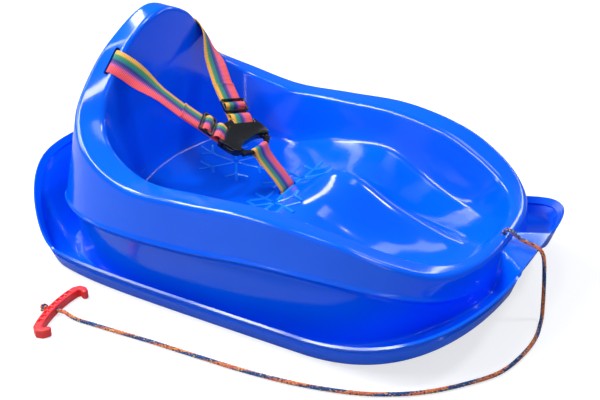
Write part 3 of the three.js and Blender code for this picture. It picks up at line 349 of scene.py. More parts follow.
def smooth_table(rows, place):
    """The value at a place, on a smooth line through the rows of a table."""
    if place <= rows[0][0]:
        return rows[0][1]
    if place >= rows[-1][0]:
        return rows[-1][1]
    i = next(k for k, r in enumerate(rows) if r[0] > place) - 1
    a, b, last = rows[i], rows[i + 1], len(rows) - 1
    before, after = rows[max(i - 1, 0)], rows[min(i + 2, last)]
    span = b[0] - a[0]
    slope_a = (b[1] - before[1]) / (b[0] - before[0]) * span
    slope_b = (after[1] - a[1]) / (after[0] - a[0]) * span
    return hermite((place - a[0]) / span, a[1], slope_a, b[1], slope_b)


outer_edge, inner_edge, wall_foot = ring(OUTER_EDGE), ring(INNER_EDGE), ring(WALL_FOOT)
shoulder_rows = [(i * 15, share * HEIGHT) for i, share in enumerate(SHOULDER)]
print("backrest top at", outer_edge(180).round(1))

# %% [markdown]
# Around the tub runs a flat brim with an upturned lip. The sole rises at the nose and at the tail, a platform carries
# the rope from the rim to the lip, and a low deck fills the brim behind the backrest. They could be sculpted, but as
# heights above a place they also tell the slots and the crotch strap where the shell is.

# %% Heights of the brim, the platform and the floor
DECK_RISE, DECK_START, DECK_FULL, DECK_EDGE, DECK_FOOT = 9.0, 266.0, 280.0, 173.0, 181.0
HUMP_WIDTH, HUMP_NARROWS = 41.0, 7.0
PLATFORM_START = OUTER_EDGE[0][0] * HALF_LENGTH
PLATFORM_RUN = HALF_LENGTH - PLATFORM_START


def sole_rise(x):
    nose, tail = HALF_LENGTH - LIP_FLARE - SKIN - NOSE_RUN, -(HALF_LENGTH - LIP_FLARE - SKIN - TAIL_RUN)
    if x > nose:
        return NOSE_RISE * ((x - nose) / NOSE_RUN) ** 2
    return TAIL_RISE * ((tail - x) / TAIL_RUN) ** 2 if x < tail else 0.0


def brim_height(p):
    deck = DECK_RISE * smooth(-p[0], DECK_START, DECK_FULL) * (1 - smooth(abs(p[1]), DECK_EDGE, DECK_FOOT))
    return sole_rise(p[0]) + SKIN + deck


def platform_height(x):
    return PLATFORM_TOP - PLATFORM_DROP * (x - PLATFORM_START) / PLATFORM_RUN


def platform_share(x, y):
    edge = PLATFORM_HALF + PLATFORM_SPREAD * clamp((x - PLATFORM_START) / PLATFORM_RUN, 0, 1)
    return 1 - smooth(abs(y), edge, edge + PLATFORM_EDGE)


def floor_height(x, y):
    width = HUMP_WIDTH - HUMP_NARROWS * smooth(x, 0, HALF_LENGTH)
    hump = smooth_table(HUMP, x / HALF_LENGTH) * math.exp(-((y / width) ** 2))
    return (smooth_table(FLOOR, x / HALF_LENGTH) + hump) * HEIGHT


def brim_point(spine, through, inset):
    """Where a line from the seat's spine through a point of the wall meets the brim's outline."""
    way = unit(through[:2] - spine[:2])
    low, high = 0.0, LENGTH
    for _ in range(40):
        mid = (low + high) / 2
        x = spine[0] + way[0] * mid - BRIM_CENTRE
        reach = HALF_LENGTH - BRIM_CENTRE - inset if x > 0 else HALF_LENGTH + BRIM_CENTRE - inset
        power = NOSE_POWER if x > 0 else TAIL_POWER
        outside = abs(x / reach) ** power + abs((spine[1] + way[1] * mid) / (HALF_WIDTH - inset)) ** power > 1
        low, high = (low, mid) if outside else (mid, high)
    return np.array([spine[0] + way[0] * low, spine[1] + way[1] * low, 0.0])


print("floor height at the seat:", round(floor_height(-100, 0), 1))

# %% [markdown]
# One column of points runs from the spine of the seat over the floor, up the wall, over the rim, down the outside
# and out over the brim to the lip's edge. Its corners come first: where the wall, the shoulder, the brim and the lip
# turn. Every corner is then rounded as in the mould, which a Bevel could do too, but not with a radius for each edge.

# %% Corners of a column
FLARE_TURNS, UNDER_TURNS = (105, 150), (14, 34)


def rounded(before, corner, after, reach, steps):
    to_before, to_after = np.linalg.norm(before - corner), np.linalg.norm(after - corner)
    start = corner + (before - corner) * (min(reach, to_before * 0.45) / to_before)
    end = corner + (after - corner) * (min(reach, to_after * 0.45) / to_after)
    return [(1 - t) ** 2 * start + 2 * t * (1 - t) * corner + t * t * end for t in np.linspace(0, 1, steps + 1)]


def outside_corners(turn):
    """The seat's spine, the way outward, the shoulder, the step under it, the wall's base and the lip's corners."""
    outer = outer_edge(turn)
    spine = np.array([clamp(wall_foot(turn)[0], SPINE_REAR, SPINE_FRONT), 0.0, 0.0])
    away = unit(np.array([outer[0] - spine[0], outer[1], 0.0]))
    shoulder_z = smooth_table(shoulder_rows, turn)
    wall_flare = WALL_FLARE + (REAR_WALL_FLARE - WALL_FLARE) * smooth(turn, *FLARE_TURNS)
    shoulder = outer + away * wall_flare * (outer[2] - shoulder_z)
    shoulder[2] = shoulder_z
    under = smooth(turn, *UNDER_TURNS)
    step = shoulder - away * SHOULDER_IN * under
    step[2] = shoulder_z - SHOULDER_DOWN
    base = step - away * BASE_IN * under
    base[2] = brim_height(base)
    inset = SKIN + LIP_FLARE
    lip = [brim_point(spine, base, inset)]
    lip_rise = sole_rise(lip[0][0]) + SKIN
    lip[0][2] = brim_height(lip[0])
    for flare, height in ((BAND_FLARE, BAND_HEIGHT), (BAND_FLARE - LEDGE_IN, BAND_HEIGHT + LEDGE_RISE),
                          (LIP_FLARE, LIP_HEIGHT - SKIN)):
        lip.append(brim_point(spine, base, inset - flare) + Z * (lip_rise + height))
    return spine, away, shoulder, step, base, lip


print("lip's edge at the side:", outside_corners(90.0)[-1][-1].round(1))

# %% [markdown]
# The floor dishes up toward the wall, and in front the brim's points are laid on the rope's platform. A small bead
# runs along the shoulder, which catches the light as in the photograph.

# %% Column of the shell
RIM_ROUND, NECK_ROUND, STEP_ROUND, BASE_FILLET, LIP_FILLET = 8.0, 3.0, 4.0, 9.0, 6.0
FLOOR_POINTS, SOLE_POINTS, SOLE_START, SOLE_GAP, SOLE_END = 19, 16, 0.12, 0.04, 0.88
BEAD_TURNS, BEAD_LIFT = (20, 40), 0.4


def on_platform(outside):
    start, end = outside[0], outside[-1]
    if start[0] < 0:
        return outside
    laid = []
    for i, p in enumerate(outside):
        way = i / (len(outside) - 1)
        flat = start + (end - start) * way
        share = platform_share(flat[0], flat[1])
        rise = (start[2] - platform_height(start[0])) * (1 - way) ** PLATFORM_POWER
        flat[2] = platform_height(flat[0]) + rise + (end[2] - platform_height(end[0])) * way ** PLATFORM_POWER
        laid.append(p + (flat - p) * share)
    return laid


def seat_floor(spine, foot):
    """Points from the seat's spine to where the floor curves up into the wall."""
    fillet_share = FOOT_FILLET / np.linalg.norm(foot - spine)
    end = foot + (np.array([spine[0], 0, foot[2]]) - foot) * fillet_share
    shares = np.linspace(0, 1, FLOOR_POINTS)
    floor = [spine + (end - spine) * share for share in shares]
    for share, p in zip(shares, floor):
        dish = (foot[2] - floor_height(foot[0], foot[1])) * (share * (1 - fillet_share)) ** 3
        p[2] = floor_height(p[0], p[1]) + dish
    return floor


def shell_column(turn):
    foot, inner, outer = wall_foot(turn), inner_edge(turn), outer_edge(turn)
    spine, away, shoulder, step, base, (lip_foot, band, ledge, edge) = outside_corners(turn)
    *floor, floor_end = seat_floor(spine, foot)
    inside = [*floor, *rounded(floor_end, foot, inner, FOOT_FILLET, 8), *between(foot, inner, 5)[1:-1],
              *rounded(foot, inner, outer, RIM_ROUND, 6), *rounded(inner, outer, shoulder, RIM_ROUND, 8)]
    bead = smooth(turn, *BEAD_TURNS)
    neck = shoulder + (outer - shoulder) * (BEAD_HEIGHT / (outer[2] - shoulder[2]))
    crest = shoulder + away * BEAD_OUT * bead + Z * BEAD_HEIGHT * BEAD_LIFT * bead
    fillet = rounded(step, base, lip_foot, BASE_FILLET, 6)
    gone = np.linalg.norm(fillet[-1] - base) / np.linalg.norm(lip_foot - base)
    shares = np.linspace(max(gone, SOLE_START) + SOLE_GAP, SOLE_END, SOLE_POINTS)
    sole = [base + (lip_foot - base) * share for share in shares]
    for p in sole:
        p[2] = brim_height(p)
    outside = [inside.pop(), *between(outer, neck, 6)[1:-1], *rounded(outer, neck, crest, NECK_ROUND, 4),
               *rounded(neck, crest, step, STEP_ROUND, 6), *rounded(shoulder, step, base, STEP_ROUND, 4),
               *between(step, base, 4)[1:-1], *fillet, *sole, *rounded(sole[-1], lip_foot, band, LIP_FILLET, 6),
               *between(lip_foot, band, 3), band, ledge, *between(ledge, edge, 3), edge]
    return inside + on_platform(outside)


print("points in a column:", len(shell_column(90.0)))

# %% [markdown]
# A mesh is made from points and faces. Its object stays at the origin, rides on its body, and hides the solid it stands
# for. Geometry Nodes trees are built in code here, so that a size has one name and one place. A modifier's result is
# baked to a plain mesh.

# %% Mesh helpers
def new_object(name, points, faces, material, body=None, slot=None, replaces=(), uvs=None, edges=()):
    mesh = bpy.data.meshes.new(name)
    mesh.from_pydata([tuple(float(c) * MM for c in p) for p in points], edges, [list(map(int, f)) for f in faces])
    if uvs is not None:
        layer = mesh.uv_layers.new(name="UVMap")
        for loop in mesh.loops:
            layer.data[loop.index].uv = uvs[loop.vertex_index]
    mesh.shade_smooth()
    mesh.materials.append(material)
    obj = link_new(name, mesh)
    place_in_frame(obj, body, replaces)
    return obj


def tube_faces(sections, points):
    """Faces of a row of sections with equal numbers of points, closed at both ends."""
    sides = [[i * points + k, i * points + (k + 1) % points, (i + 1) * points + (k + 1) % points, (i + 1) * points + k]
             for i in range(sections - 1) for k in range(points)]
    return [*sides, list(range(points))[::-1], [(sections - 1) * points + k for k in range(points)]]


def place_in_frame(obj, body, replaces=()):
    if body:
        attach(obj, body)
    if replaces:
        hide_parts(*replaces)


def apply_modifiers(obj):
    baked = bpy.data.meshes.new_from_object(obj.evaluated_get(bpy.context.evaluated_depsgraph_get()))
    obj.modifiers.clear()
    obj.data = baked


def new_tree(name, sizes):
    """An empty Geometry Nodes tree with named sizes; returns it, its inputs and its last node."""
    tree = bpy.data.node_groups.new(name, "GeometryNodeTree")
    tree.interface.new_socket("Geometry", in_out="INPUT", socket_type="NodeSocketGeometry")
    for label, kind in sizes.items():
        tree.interface.new_socket(label, in_out="INPUT", socket_type="NodeSocket" + kind)
    tree.interface.new_socket("Geometry", in_out="OUTPUT", socket_type="NodeSocketGeometry")
    start, end = tree.nodes.new("NodeGroupInput"), tree.nodes.new("NodeGroupOutput")
    return tree, {s.name: Field(tree, s) for s in start.outputs if s.name}, end


def finish_tree(tree, end, geometry, material):
    whole = add(tree, "GeometryNodeRealizeInstances", {}, {0: geometry})
    smooth_faces = add(tree, "GeometryNodeSetShadeSmooth", {}, {0: whole, "Shade Smooth": True})
    dressed = add(tree, "GeometryNodeSetMaterial", {}, {"Geometry": smooth_faces, "Material": material})
    tree.links.new(dressed.socket, end.inputs[0])


def grow(obj, tree, **sizes):
    modifier = obj.modifiers.new(tree.name, "NODES")
    modifier.node_group = tree
    for socket in tree.interface.items_tree:
        if socket.in_out == "INPUT" and socket.name in sizes:
            modifier[socket.identifier] = sizes[socket.name]
    apply_modifiers(obj)


print("faces of a closed box:", len(tube_faces(2, 4)))

# %% [markdown]
# The columns stand close together, so that the light runs along the rim in unbroken lines. Their upper surface gets
# an even wall under it, as a thermoformed sheet has. Solidify would do much the same. Moving each point along its
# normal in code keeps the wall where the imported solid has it.

# %% Shell mesh
NOSE_TURN, NOSE_STEP, SIDE_STEP = 36, 0.5, 1.0


def weld(points, quads):
    """Points that fall together become one, and faces that shrink to a line go."""
    index, kept, ids = {}, [], []
    for p in points:
        key = tuple(np.round(p, 3))
        if key not in index:
            index[key] = len(kept)
            kept.append(p)
        ids.append(index[key])
    faces = [list(dict.fromkeys(ids[i] for i in quad)) for quad in quads]
    return np.array(kept), [f for f in faces if len(f) > 2]


def vertex_normals(points, faces):
    normals = np.zeros_like(points)
    for f in faces:
        a, b, c, d = (points[i] for i in (f + f[-1:])[:4])
        normals[f] += np.cross(c - a, d - b) if len(f) == 4 else np.cross(b - a, c - a)
    return normals / np.linalg.norm(normals, axis=1)[:, None]


def shell_mesh():
    turns = [*np.arange(0, NOSE_TURN, NOSE_STEP), *np.arange(NOSE_TURN, 180.01, SIDE_STEP)]
    left = [shell_column(float(turn)) for turn in turns]
    columns = left + [[p * [1, -1, 1] for p in column] for column in left[-2:0:-1]]
    rows, quads = len(columns[0]), []
    for k in range(len(columns)):
        a, b = k * rows, (k + 1) % len(columns) * rows
        quads += [[a + i, a + i + 1, b + i + 1, b + i] for i in range(rows - 1)]
    points, faces = weld([p for column in columns for p in column], quads)
    under = points - vertex_normals(points, faces) * SKIN
    count, border = len(points), {}
    for f in faces:
        for a, b in zip(f, f[1:] + f[:1]):
            if border.pop((b, a), None) is None:
                border[(a, b)] = True
    closed = faces + [[i + count for i in reversed(f)] for f in faces]
    closed += [[b, a, a + count, b + count] for a, b in border]
    return np.vstack([points, under]), closed


hull = new_object("sled_shell", *shell_mesh(), SHELL_BLUE, "sled", "shell", ["hull_shell"])
print("shell faces:", len(hull.data.polygons))

# %% [markdown]
# Two slots in the rim take the shoulder straps, one slot in the seat takes the crotch strap, and a hole in the front
# rim takes the rope. They could be left out of the rows of faces, but a slot's rounded corners don't follow the
# columns. So they are cut as in the factory, by a cutter with rounded corners and a Boolean.

# %% Slots and rope hole
STRAP_WIDTH, CROTCH_X = 35.0, -20.0
SLOT_TURN, SLOT_SHARE, SLOT_WIDTH, SLOT_LENGTH, SLOT_CORNER = 155.0, 0.33, 8.0, STRAP_WIDTH + 8.0, 3.0
CUT_DEPTH, SEAT_SLOT_WIDTH, SEAT_CUT_DEPTH, ROPE_HOLE, SHARP_TURN = 9.0, 9.0, 18.0, 8.0, math.radians(38)


def shoulder_slot(side):
    def on(turn):
        return (inner_edge(turn) + (outer_edge(turn) - inner_edge(turn)) * SLOT_SHARE) * [1, side, 1]

    rim = unit(on(SLOT_TURN + 1) - on(SLOT_TURN - 1))
    out = unit(np.cross((inner_edge(SLOT_TURN) - outer_edge(SLOT_TURN)) * [1, side, 1], rim))
    out = out if out[2] > 0 else -out
    front = unit(np.cross(rim, out))
    return on(SLOT_TURN), rim, out, front if front[0] > 0 else -front


def cutter(name, place, first, second, length, width, depth, corner):
    third, outline = np.cross(first, second), []
    for sx, sy, start in ((1, 1, 0), (-1, 1, 90), (-1, -1, 180), (1, -1, 270)):
        for angle in np.radians(start + 22.5 * np.arange(5)):
            outline.append((sx * (length / 2 - corner) + corner * math.cos(angle),
                            sy * (width / 2 - corner) + corner * math.sin(angle)))
    points = [place + first * x + second * y + third * z for z in (-depth, depth) for x, y in outline]
    return new_object(name, points, tube_faces(2, len(outline)), SHELL_BLUE)


CROTCH_TOP = np.array([CROTCH_X, 0.0, floor_height(CROTCH_X, 0.0)])
cutters = []
for side, name in ((1, "cut_left"), (-1, "cut_right")):
    slot_place, rim, _, front = shoulder_slot(side)
    cutters.append(cutter(name, slot_place, front, rim, SLOT_WIDTH, SLOT_LENGTH, CUT_DEPTH, SLOT_CORNER))
rope_hole, hole_corner = (inner_edge(0) + outer_edge(0)) / 2, ROPE_HOLE / 2 - 0.01
cutters += [cutter("cut_crotch", CROTCH_TOP, X, Y, SEAT_SLOT_WIDTH, SLOT_LENGTH, SEAT_CUT_DEPTH, SLOT_CORNER),
            cutter("cut_rope", rope_hole, X, Y, ROPE_HOLE, ROPE_HOLE, CUT_DEPTH, hole_corner)]
for tool in cutters:
    cut = hull.modifiers.new(tool.name, "BOOLEAN")
    cut.object, cut.operation, cut.solver = tool, "DIFFERENCE", "EXACT"
apply_modifiers(hull)
for tool in cutters:
    bpy.data.objects.remove(tool)
hull.data.shade_smooth()
hull.data.set_sharp_from_angle(angle=SHARP_TURN)
shell_tree = BVHTree.FromPolygons([v.co for v in hull.data.vertices], [p.vertices[:] for p in hull.data.polygons])
print("shell faces after the cuts:", len(hull.data.polygons))

# %% [markdown]
# The webbing is woven with one set of lengthwise stripes from gold to coral. Its cross ribs make the stripes' edges
# saw-toothed and shade them in fine lines. An image of woven tape would do on one strap, but sine waves stay sharp at
# any distance. The pattern follows the strap, so it reads the strap's own UV map: X runs across from 0 to 1 and Y
# along the strap in metres.

# %% Webbing material
GOLD, GREEN, TEAL, NAVY, PURPLE, PINK, CORAL = (
    screen(246, 176, 66), screen(60, 150, 84), screen(10, 132, 128), screen(24, 48, 130), screen(98, 58, 150),
    screen(220, 84, 150), screen(255, 88, 96))
STRIPES = [(0.0, GOLD), (0.15, GOLD), (0.19, GREEN), (0.26, GREEN), (0.29, TEAL), (0.37, TEAL), (0.41, NAVY),
           (0.49, NAVY), (0.53, PURPLE), (0.58, PURPLE), (0.62, PINK), (0.68, PINK), (0.71, CORAL), (1.0, CORAL)]
RIB_PITCH, YARNS, RIB_SAW, YARN_SAW, WEAVE_DEPTH, FUZZ_SCALE = 0.0024, 26, 0.024, 0.006, 0.0003, 900


def webbing_material():
    material, tree, surface = new_material("webbing")
    place = add(tree, "ShaderNodeUVMap", {"uv_map": "UVMap"})
    across = add(tree, "ShaderNodeSeparateXYZ", {}, {0: place}, 0)
    along = add(tree, "ShaderNodeSeparateXYZ", {}, {0: place}, 1)
    rib = (along * (2 * math.pi / RIB_PITCH)).math("SINE")
    yarn = (across * (2 * math.pi * YARNS)).math("SINE")
    bands = add(tree, "ShaderNodeValToRGB", {"stops": STRIPES}, {"Fac": across + rib * RIB_SAW + yarn * YARN_SAW})
    weave = rib * 0.6 + rib * yarn * 0.4
    # The stripe colour is darkened in the grooves between the cross ribs: painted shade, with the weave's bump on top.
    shade = weave.ease(-0.9, 0.5) * 0.5 + 0.62
    fuzz = noise(tree, add(tree, "ShaderNodeTexCoord", output=3), FUZZ_SCALE) * 0.3 + 0.85
    tone = mixed(tree, 1.0, mixed(tree, 1.0, bands, shade, "MULTIPLY"), fuzz, "MULTIPLY")
    feed(surface, Base_Color=tone, Roughness=shade * -0.2 + 0.85, Normal=bumped(tree, weave, 0.6, WEAVE_DEPTH))
    surface.inputs["Sheen Weight"].default_value = 0.15
    return material


WEBBING = webbing_material()
THREAD = plastic("sewing_thread", screen(120, 44, 96), screen(140, 60, 110), 0.7, 2500, 0.00005)
print("stripes:", len(STRIPES))

# %% [markdown]
# Each strap is a path of stations: round the keeper bar behind its slot, out over the rim, down to the buckle's bar and
# round it. From there a hump leads back up through the slider, and a tail lies flat under it. The hump is a path of
# its own, because it has to bunch up or stretch when the slider moves. A station is a place and the direction of the
# strap's width. Cloth simulation would first need an even mesh, which erases so thin a strap, so the path is written
# out. Each strap's side, its slider's distance from the bar and the slider's way toward the bar are listed.

# %% Paths of the shoulder straps
STRAP_THICKNESS, SEAT_GAP, LOOP_SLACK, BAR = 1.5, 0.35, 0.3, 5.0
LOOP = BAR / 2 + SEAT_GAP + LOOP_SLACK + STRAP_THICKNESS / 2
LAYER, KEEPER_DEPTH, CROTCH_KEEPER_DEPTH, TAIL = STRAP_THICKNESS + SEAT_GAP, 11.0, 16.0, 30.0
SLIDER_LENGTH, RIM_BEND, TWIST_LENGTH, ON_TAIL, BLEND_START = 24.0, 20.0, 60.0, 0.2, 2.0
SHOULDER_STRAPS = {"left": (1, 20.0, 12.0), "right": (-1, 15.0, 4.0)}
BUCKLE, PITCH, BAR_TURN = np.array([-90.0, -6.0, 164.4]), math.radians(23.5), math.radians(25.0)
BAR_X, BAR_Y, INSERT_BAR = -23.4, 26.0, 27.5
BUCKLE_AHEAD = np.array([math.cos(PITCH), 0, -math.sin(PITCH)])
BUCKLE_UP = np.array([math.sin(PITCH), 0, math.cos(PITCH)])
SLIDER_PATH = [(0.15, 0), (0.192, 0.02), (0.329, 0.2), (0.375, 0.262), (0.433, 0.279), (0.5, 0.283)]
LOOP_HUMP = [(0.25, 1.15), (0.5, 1.19), (0.72, 0.96), (0.86, 0.51), (0.97, 0.257)]


def in_buckle(ahead, left, up=0.0):
    return BUCKLE + BUCKLE_AHEAD * ahead + Y * left + BUCKLE_UP * up


def around(bar, out, front, start, end, steps):
    angles = np.radians(np.linspace(start, end, steps + 1))
    return [bar + out * LOOP * math.cos(a) + front * LOOP * math.sin(a) for a in angles]


def strap_frame(side):
    """A strap's bar, its entry over the rim, the way from bar to rim, the strap's width and its outer face."""
    slot_place, _, out, front = shoulder_slot(side)
    bar = in_buckle(BAR_X, side * BAR_Y)
    along = BUCKLE_AHEAD * math.sin(BAR_TURN) + Y * side * math.cos(BAR_TURN)
    entry = slot_place + front * 3 * LOOP + out * 2 * LAYER
    away = unit(entry - bar - along * (entry - bar).dot(along))
    up = np.cross(away, -along)
    return bar, entry, away, -along, up if up[2] > 0 else -up


def shoulder_stations(side, distance, back):
    """The stations of the strap, of its hump and of its tail, and the ends of the stretch that gives way."""
    slot_place, rim, out, front = shoulder_slot(side)
    bar, entry, away, across, up = strap_frame(side)
    half, lean = LAYER / 2, (SLOT_WIDTH - STRAP_THICKNESS) / 2 - SEAT_GAP

    def by_slot(forward, outward):
        return slot_place + front * forward + out * outward

    def on_strap(along, height):
        return bar - up * LOOP + away * along + up * height

    loop = around(slot_place - out * KEEPER_DEPTH, out, front, -75, -285, 8)
    stations = [by_slot(-half, -STRAP_THICKNESS), by_slot(-half, -KEEPER_DEPTH / 2), *loop,
                by_slot(half, -KEEPER_DEPTH / 2), by_slot(lean, -half), by_slot(lean, STRAP_THICKNESS)]
    stations = [(p, rim) for p in stations]
    leave, bend_end = stations[-1][0], entry - away * RIM_BEND
    for t in (0.2, 0.4, 0.6, 0.8):
        stations.append(((1 - t) ** 2 * leave + 2 * t * (1 - t) * entry + t * t * bend_end, rim))
    straight = on_strap(distance + SLIDER_LENGTH + TAIL, 0)
    reach = np.linalg.norm(straight - bend_end)
    for t in (0, 0.1, 0.2, 0.32, 0.45, 0.6, 0.8, 1):
        width = unit(rim + (across - rim) * smooth(t * reach, 0, TWIST_LENGTH))
        stations.append((bend_end + (straight - bend_end) * t, width))
    stations.append((on_strap(distance + SLIDER_LENGTH / 2, 0), across))
    loop_top = [(p, across) for p in around(bar, up, away, -180, 0, 8)]
    through = [(s * SLIDER_LENGTH, LAYER + ON_TAIL + h * SLIDER_LENGTH) for s, h in SLIDER_PATH]
    through += [(SLIDER_LENGTH - s, h) for s, h in through[:-1][::-1]] + [(SLIDER_LENGTH * 0.92, LAYER - 0.5)]
    hump = [loop_top[-1], *((on_strap(s * distance, h * 2 * LOOP), across) for s, h in LOOP_HUMP)]
    hump += [(on_strap(distance + s, h), across) for s, h in through]
    tail = [(on_strap(s, LAYER), across) for s in (distance - back - 1, distance, distance + SLIDER_LENGTH + TAIL)]
    return stations + loop_top, hump, tail, (on_strap(BLEND_START, LAYER), on_strap(distance, LAYER))


print("stations of a shoulder strap:", [len(part) for part in shoulder_stations(*SHOULDER_STRAPS["left"])])

# %% [markdown]
# The crotch strap comes up through the seat, goes round the insert's bar and is sewn back on itself. It is a path of
# stations like the others, drawn in an upright plane and then led a little sideways to the buckle's middle.

# %% Path of the crotch strap
def crotch_stations():
    bar, half = in_buckle(INSERT_BAR, 0), LAYER / 2
    leave = CROTCH_TOP + Z * STRAP_THICKNESS - X * half
    away = unit((bar - leave) * [1, 0, 1])
    face = np.array([-away[2], 0, away[0]])
    face = face if face[2] > 0 else -face

    def below(forward, depth):
        return np.array([CROTCH_X + forward, 0, CROTCH_TOP[2] - depth])

    near, end = bar - away * 3 * LOOP, bar - away * (4 * LOOP + TAIL / 4)
    places = [below(half, STRAP_THICKNESS), below(half, CROTCH_KEEPER_DEPTH / 2),
              *around(below(0, CROTCH_KEEPER_DEPTH), Z, X, 75, 285, 8), below(-half, CROTCH_KEEPER_DEPTH / 2),
              below(-half, half), leave, leave + away * LOOP + Z * half, leave + away * 4 * LOOP + face * half,
              near + face * half, *around(bar, away, face, 110, -110, 8), near - face * half, end - face * half]
    stations = []
    for p in places:
        sideways = clamp((p[0] - leave[0]) / (bar[0] - leave[0]), 0, 1) * BUCKLE[1] if p[1] == 0 else p[1]
        stations.append((np.array([p[0], sideways, p[2]]), Y))
    return stations


print("stations of the crotch strap:", len(crotch_stations()))

# %% [markdown]
# Between its stations a strap bends smoothly, so the stations are made finer first. A flat section with rounded
# selvedges is then carried along. A curve with a bevel object would do the same, but here each station also sets the
# twist and the UV map. The free tail ends in a hem, which is thicker than the strap.

# %% Straps
STRAP_SECTION = [(-0.97, 0.5), (-0.5, 0.5), (0, 0.5), (0.5, 0.5), (0.97, 0.5), (1, 0.2), (1, -0.2), (0.97, -0.5),
                 (0.5, -0.5), (0, -0.5), (-0.5, -0.5), (-0.97, -0.5), (-1, -0.2), (-1, 0.2)]
HEM_LENGTH, HEM_EXTRA, HEM_EASE, SLACK_BEND, STATION_STEP = 3.2, 0.8, 0.6, 0.5, 2.0


def finer(stations):
    """The same path with more stations, where a stiff strap bends less than a free curve would."""
    places, out = [place for place, _ in stations], []
    for i, (_, width) in enumerate(stations[:-1]):
        first, leaving, last, arriving = stretch(places, i, 1)
        steps = max(1, math.ceil(np.linalg.norm(last - first) / STATION_STEP))
        for t in np.arange(steps) / steps:
            place = hermite(t, first, leaving * SLACK_BEND, last, arriving * SLACK_BEND)
            out.append((place, unit(width + (stations[i + 1][1] - width) * t)))
    return [*out, stations[-1]]


def strap_ways(stations):
    """Place, width direction and outward direction of each station, and its run along the strap."""
    ways, n, run = [], len(stations), 0.0
    for i, (place, width) in enumerate(stations):
        run += np.linalg.norm(place - stations[max(i - 1, 0)][0])
        forward = unit(stations[min(i + 1, n - 1)][0] - stations[max(i - 1, 0)][0])
        across = unit(width - forward * width.dot(forward))
        ways.append((place, across, np.cross(forward, across), run))
    return ways


def strap(name, stations, body, gold_first=False, hem_out=None, replaces=()):
    """A strap along its stations; gold_first puts the gold stripe on its near edge, hem_out is a hem's thick side."""
    ways = strap_ways(finer(stations))
    points, uvs, length = [], [], ways[-1][3]
    for place, across, out, run in ways:
        hem = 0 if hem_out is None else HEM_EXTRA * smooth(run, length - HEM_LENGTH - HEM_EASE, length - HEM_LENGTH)
        hem_side = 1 if hem_out is None else math.copysign(1, out.dot(hem_out))
        for a, b in STRAP_SECTION:
            lift = hem * hem_side if b * hem_side > 0 else 0.0
            points.append(place + across * a * STRAP_WIDTH / 2 + out * (b * STRAP_THICKNESS + lift))
            share = (a + 1) / 2
            uvs.append((share if gold_first else 1 - share, run * MM))
    faces = tube_faces(len(ways), len(STRAP_SECTION))
    obj = new_object(name, points, faces, WEBBING, body, "webbing", replaces, uvs)
    cage = bmesh.new()
    cage.from_mesh(obj.data)
    bmesh.ops.recalc_face_normals(cage, faces=cage.faces)
    cage.to_mesh(obj.data)
    cage.free()
    obj.data.set_sharp_from_angle(angle=math.radians(60))
    return obj, ways


tails = {}
for name, (side, distance, back) in SHOULDER_STRAPS.items():
    main_way, hump_way, tail_way, (still, moving) = shoulder_stations(side, distance, back)
    strap(f"{name}_webbing", main_way, "sled", replaces=[f"{name}_shoulder_strap"])
    tails[name] = strap(f"{name}_webbing_tail", tail_way, "sled", hem_out=strap_frame(side)[4])
    hump, _ = strap(f"{name}_webbing_hump", hump_way, None)
    tuple(still * MM)
    tuple(moving * MM)
    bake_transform(hump)
crotch, _ = strap("crotch_webbing", crotch_stations(), None, True, -BUCKLE_UP, ["crotch_strap"])
tuple(in_buckle(INSERT_BAR - 4, 0) * MM)
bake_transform(crotch)
print("strap faces:", [len(tail.data.polygons) for tail, _ in tails.values()], len(crotch.data.polygons))

# %% [markdown]
# A line of edges can become a rounded bead, which serves for every stitch and for every rib moulded in the seat. A
# hundred small curves could be bevelled one by one. One tree does it for all: it turns edges into curves, keeps their
# sides level, and carries a flattened circle along them.

# %% Tree for beads along edges
def bead_tree():
    sizes = {"Width": "Float", "Height": "Float", "Sides": "Int", "Material": "Material"}
    tree, given, end = new_tree("beads_along_edges", sizes)
    lines = add(tree, "GeometryNodeMeshToCurve", {}, {"Mesh": given["Geometry"]})
    level = add(tree, "GeometryNodeSetCurveNormal", {"mode": "Z_UP"}, {"Curve": lines})
    circle = add(tree, "GeometryNodeCurvePrimitiveCircle", {}, {"Resolution": given["Sides"], "Radius": 0.5})
    flat = add(tree, "ShaderNodeCombineXYZ", {}, {"X": given["Width"], "Y": given["Height"], "Z": 1.0})
    section = add(tree, "GeometryNodeTransform", {}, {"Geometry": circle, "Scale": flat})
    beaded = add(tree, "GeometryNodeCurveToMesh", {}, {"Curve": level, "Profile Curve": section, "Fill Caps": True})
    finish_tree(tree, end, beaded, given["Material"])
    return tree


BEADS = bead_tree()


def beads(name, lines, width, height, sides, material, body):
    """One object with a bead along each line of points."""
    points, edges = [], []
    for line in lines:
        edges += [(len(points) + k, len(points) + k + 1) for k in range(len(line) - 1)]
        points += line
    obj = new_object(name, points, [], material, edges=edges)
    grow(obj, BEADS, Width=width * MM, Height=height * MM, Sides=sides, Material=material)
    place_in_frame(obj, body)
    return obj


print("bead tree nodes:", len(BEADS.nodes))

# %% [markdown]
# A row of stitches holds each hem. They could be painted in the webbing's material, but real stitches stand up and
# catch the light, and there are only a few. They lie on the outside of the strap, across its path.

# %% Stitches on the hems
STITCH, STITCH_GAP, STITCH_THREAD, STITCH_MARGIN = 2.0, 1.1, 0.45, 2


def hem_stitches(ways, hem_out):
    last, across, out, _ = ways[-1]
    place = last + unit(ways[-2][0] - last) * HEM_LENGTH / 2
    out, lines = out * math.copysign(1, out.dot(hem_out)), []
    top = place + out * (STRAP_THICKNESS / 2 + HEM_EXTRA + STITCH_THREAD * 0.2)
    first, last_start = STITCH_MARGIN - STRAP_WIDTH / 2, STRAP_WIDTH / 2 - STITCH_MARGIN - STITCH
    sunk = out * STITCH_THREAD * 0.5
    for a in np.arange(first, last_start, STITCH + STITCH_GAP):
        lines.append([top + across * a - sunk, top + across * (a + STITCH / 2), top + across * (a + STITCH) - sunk])
    return lines


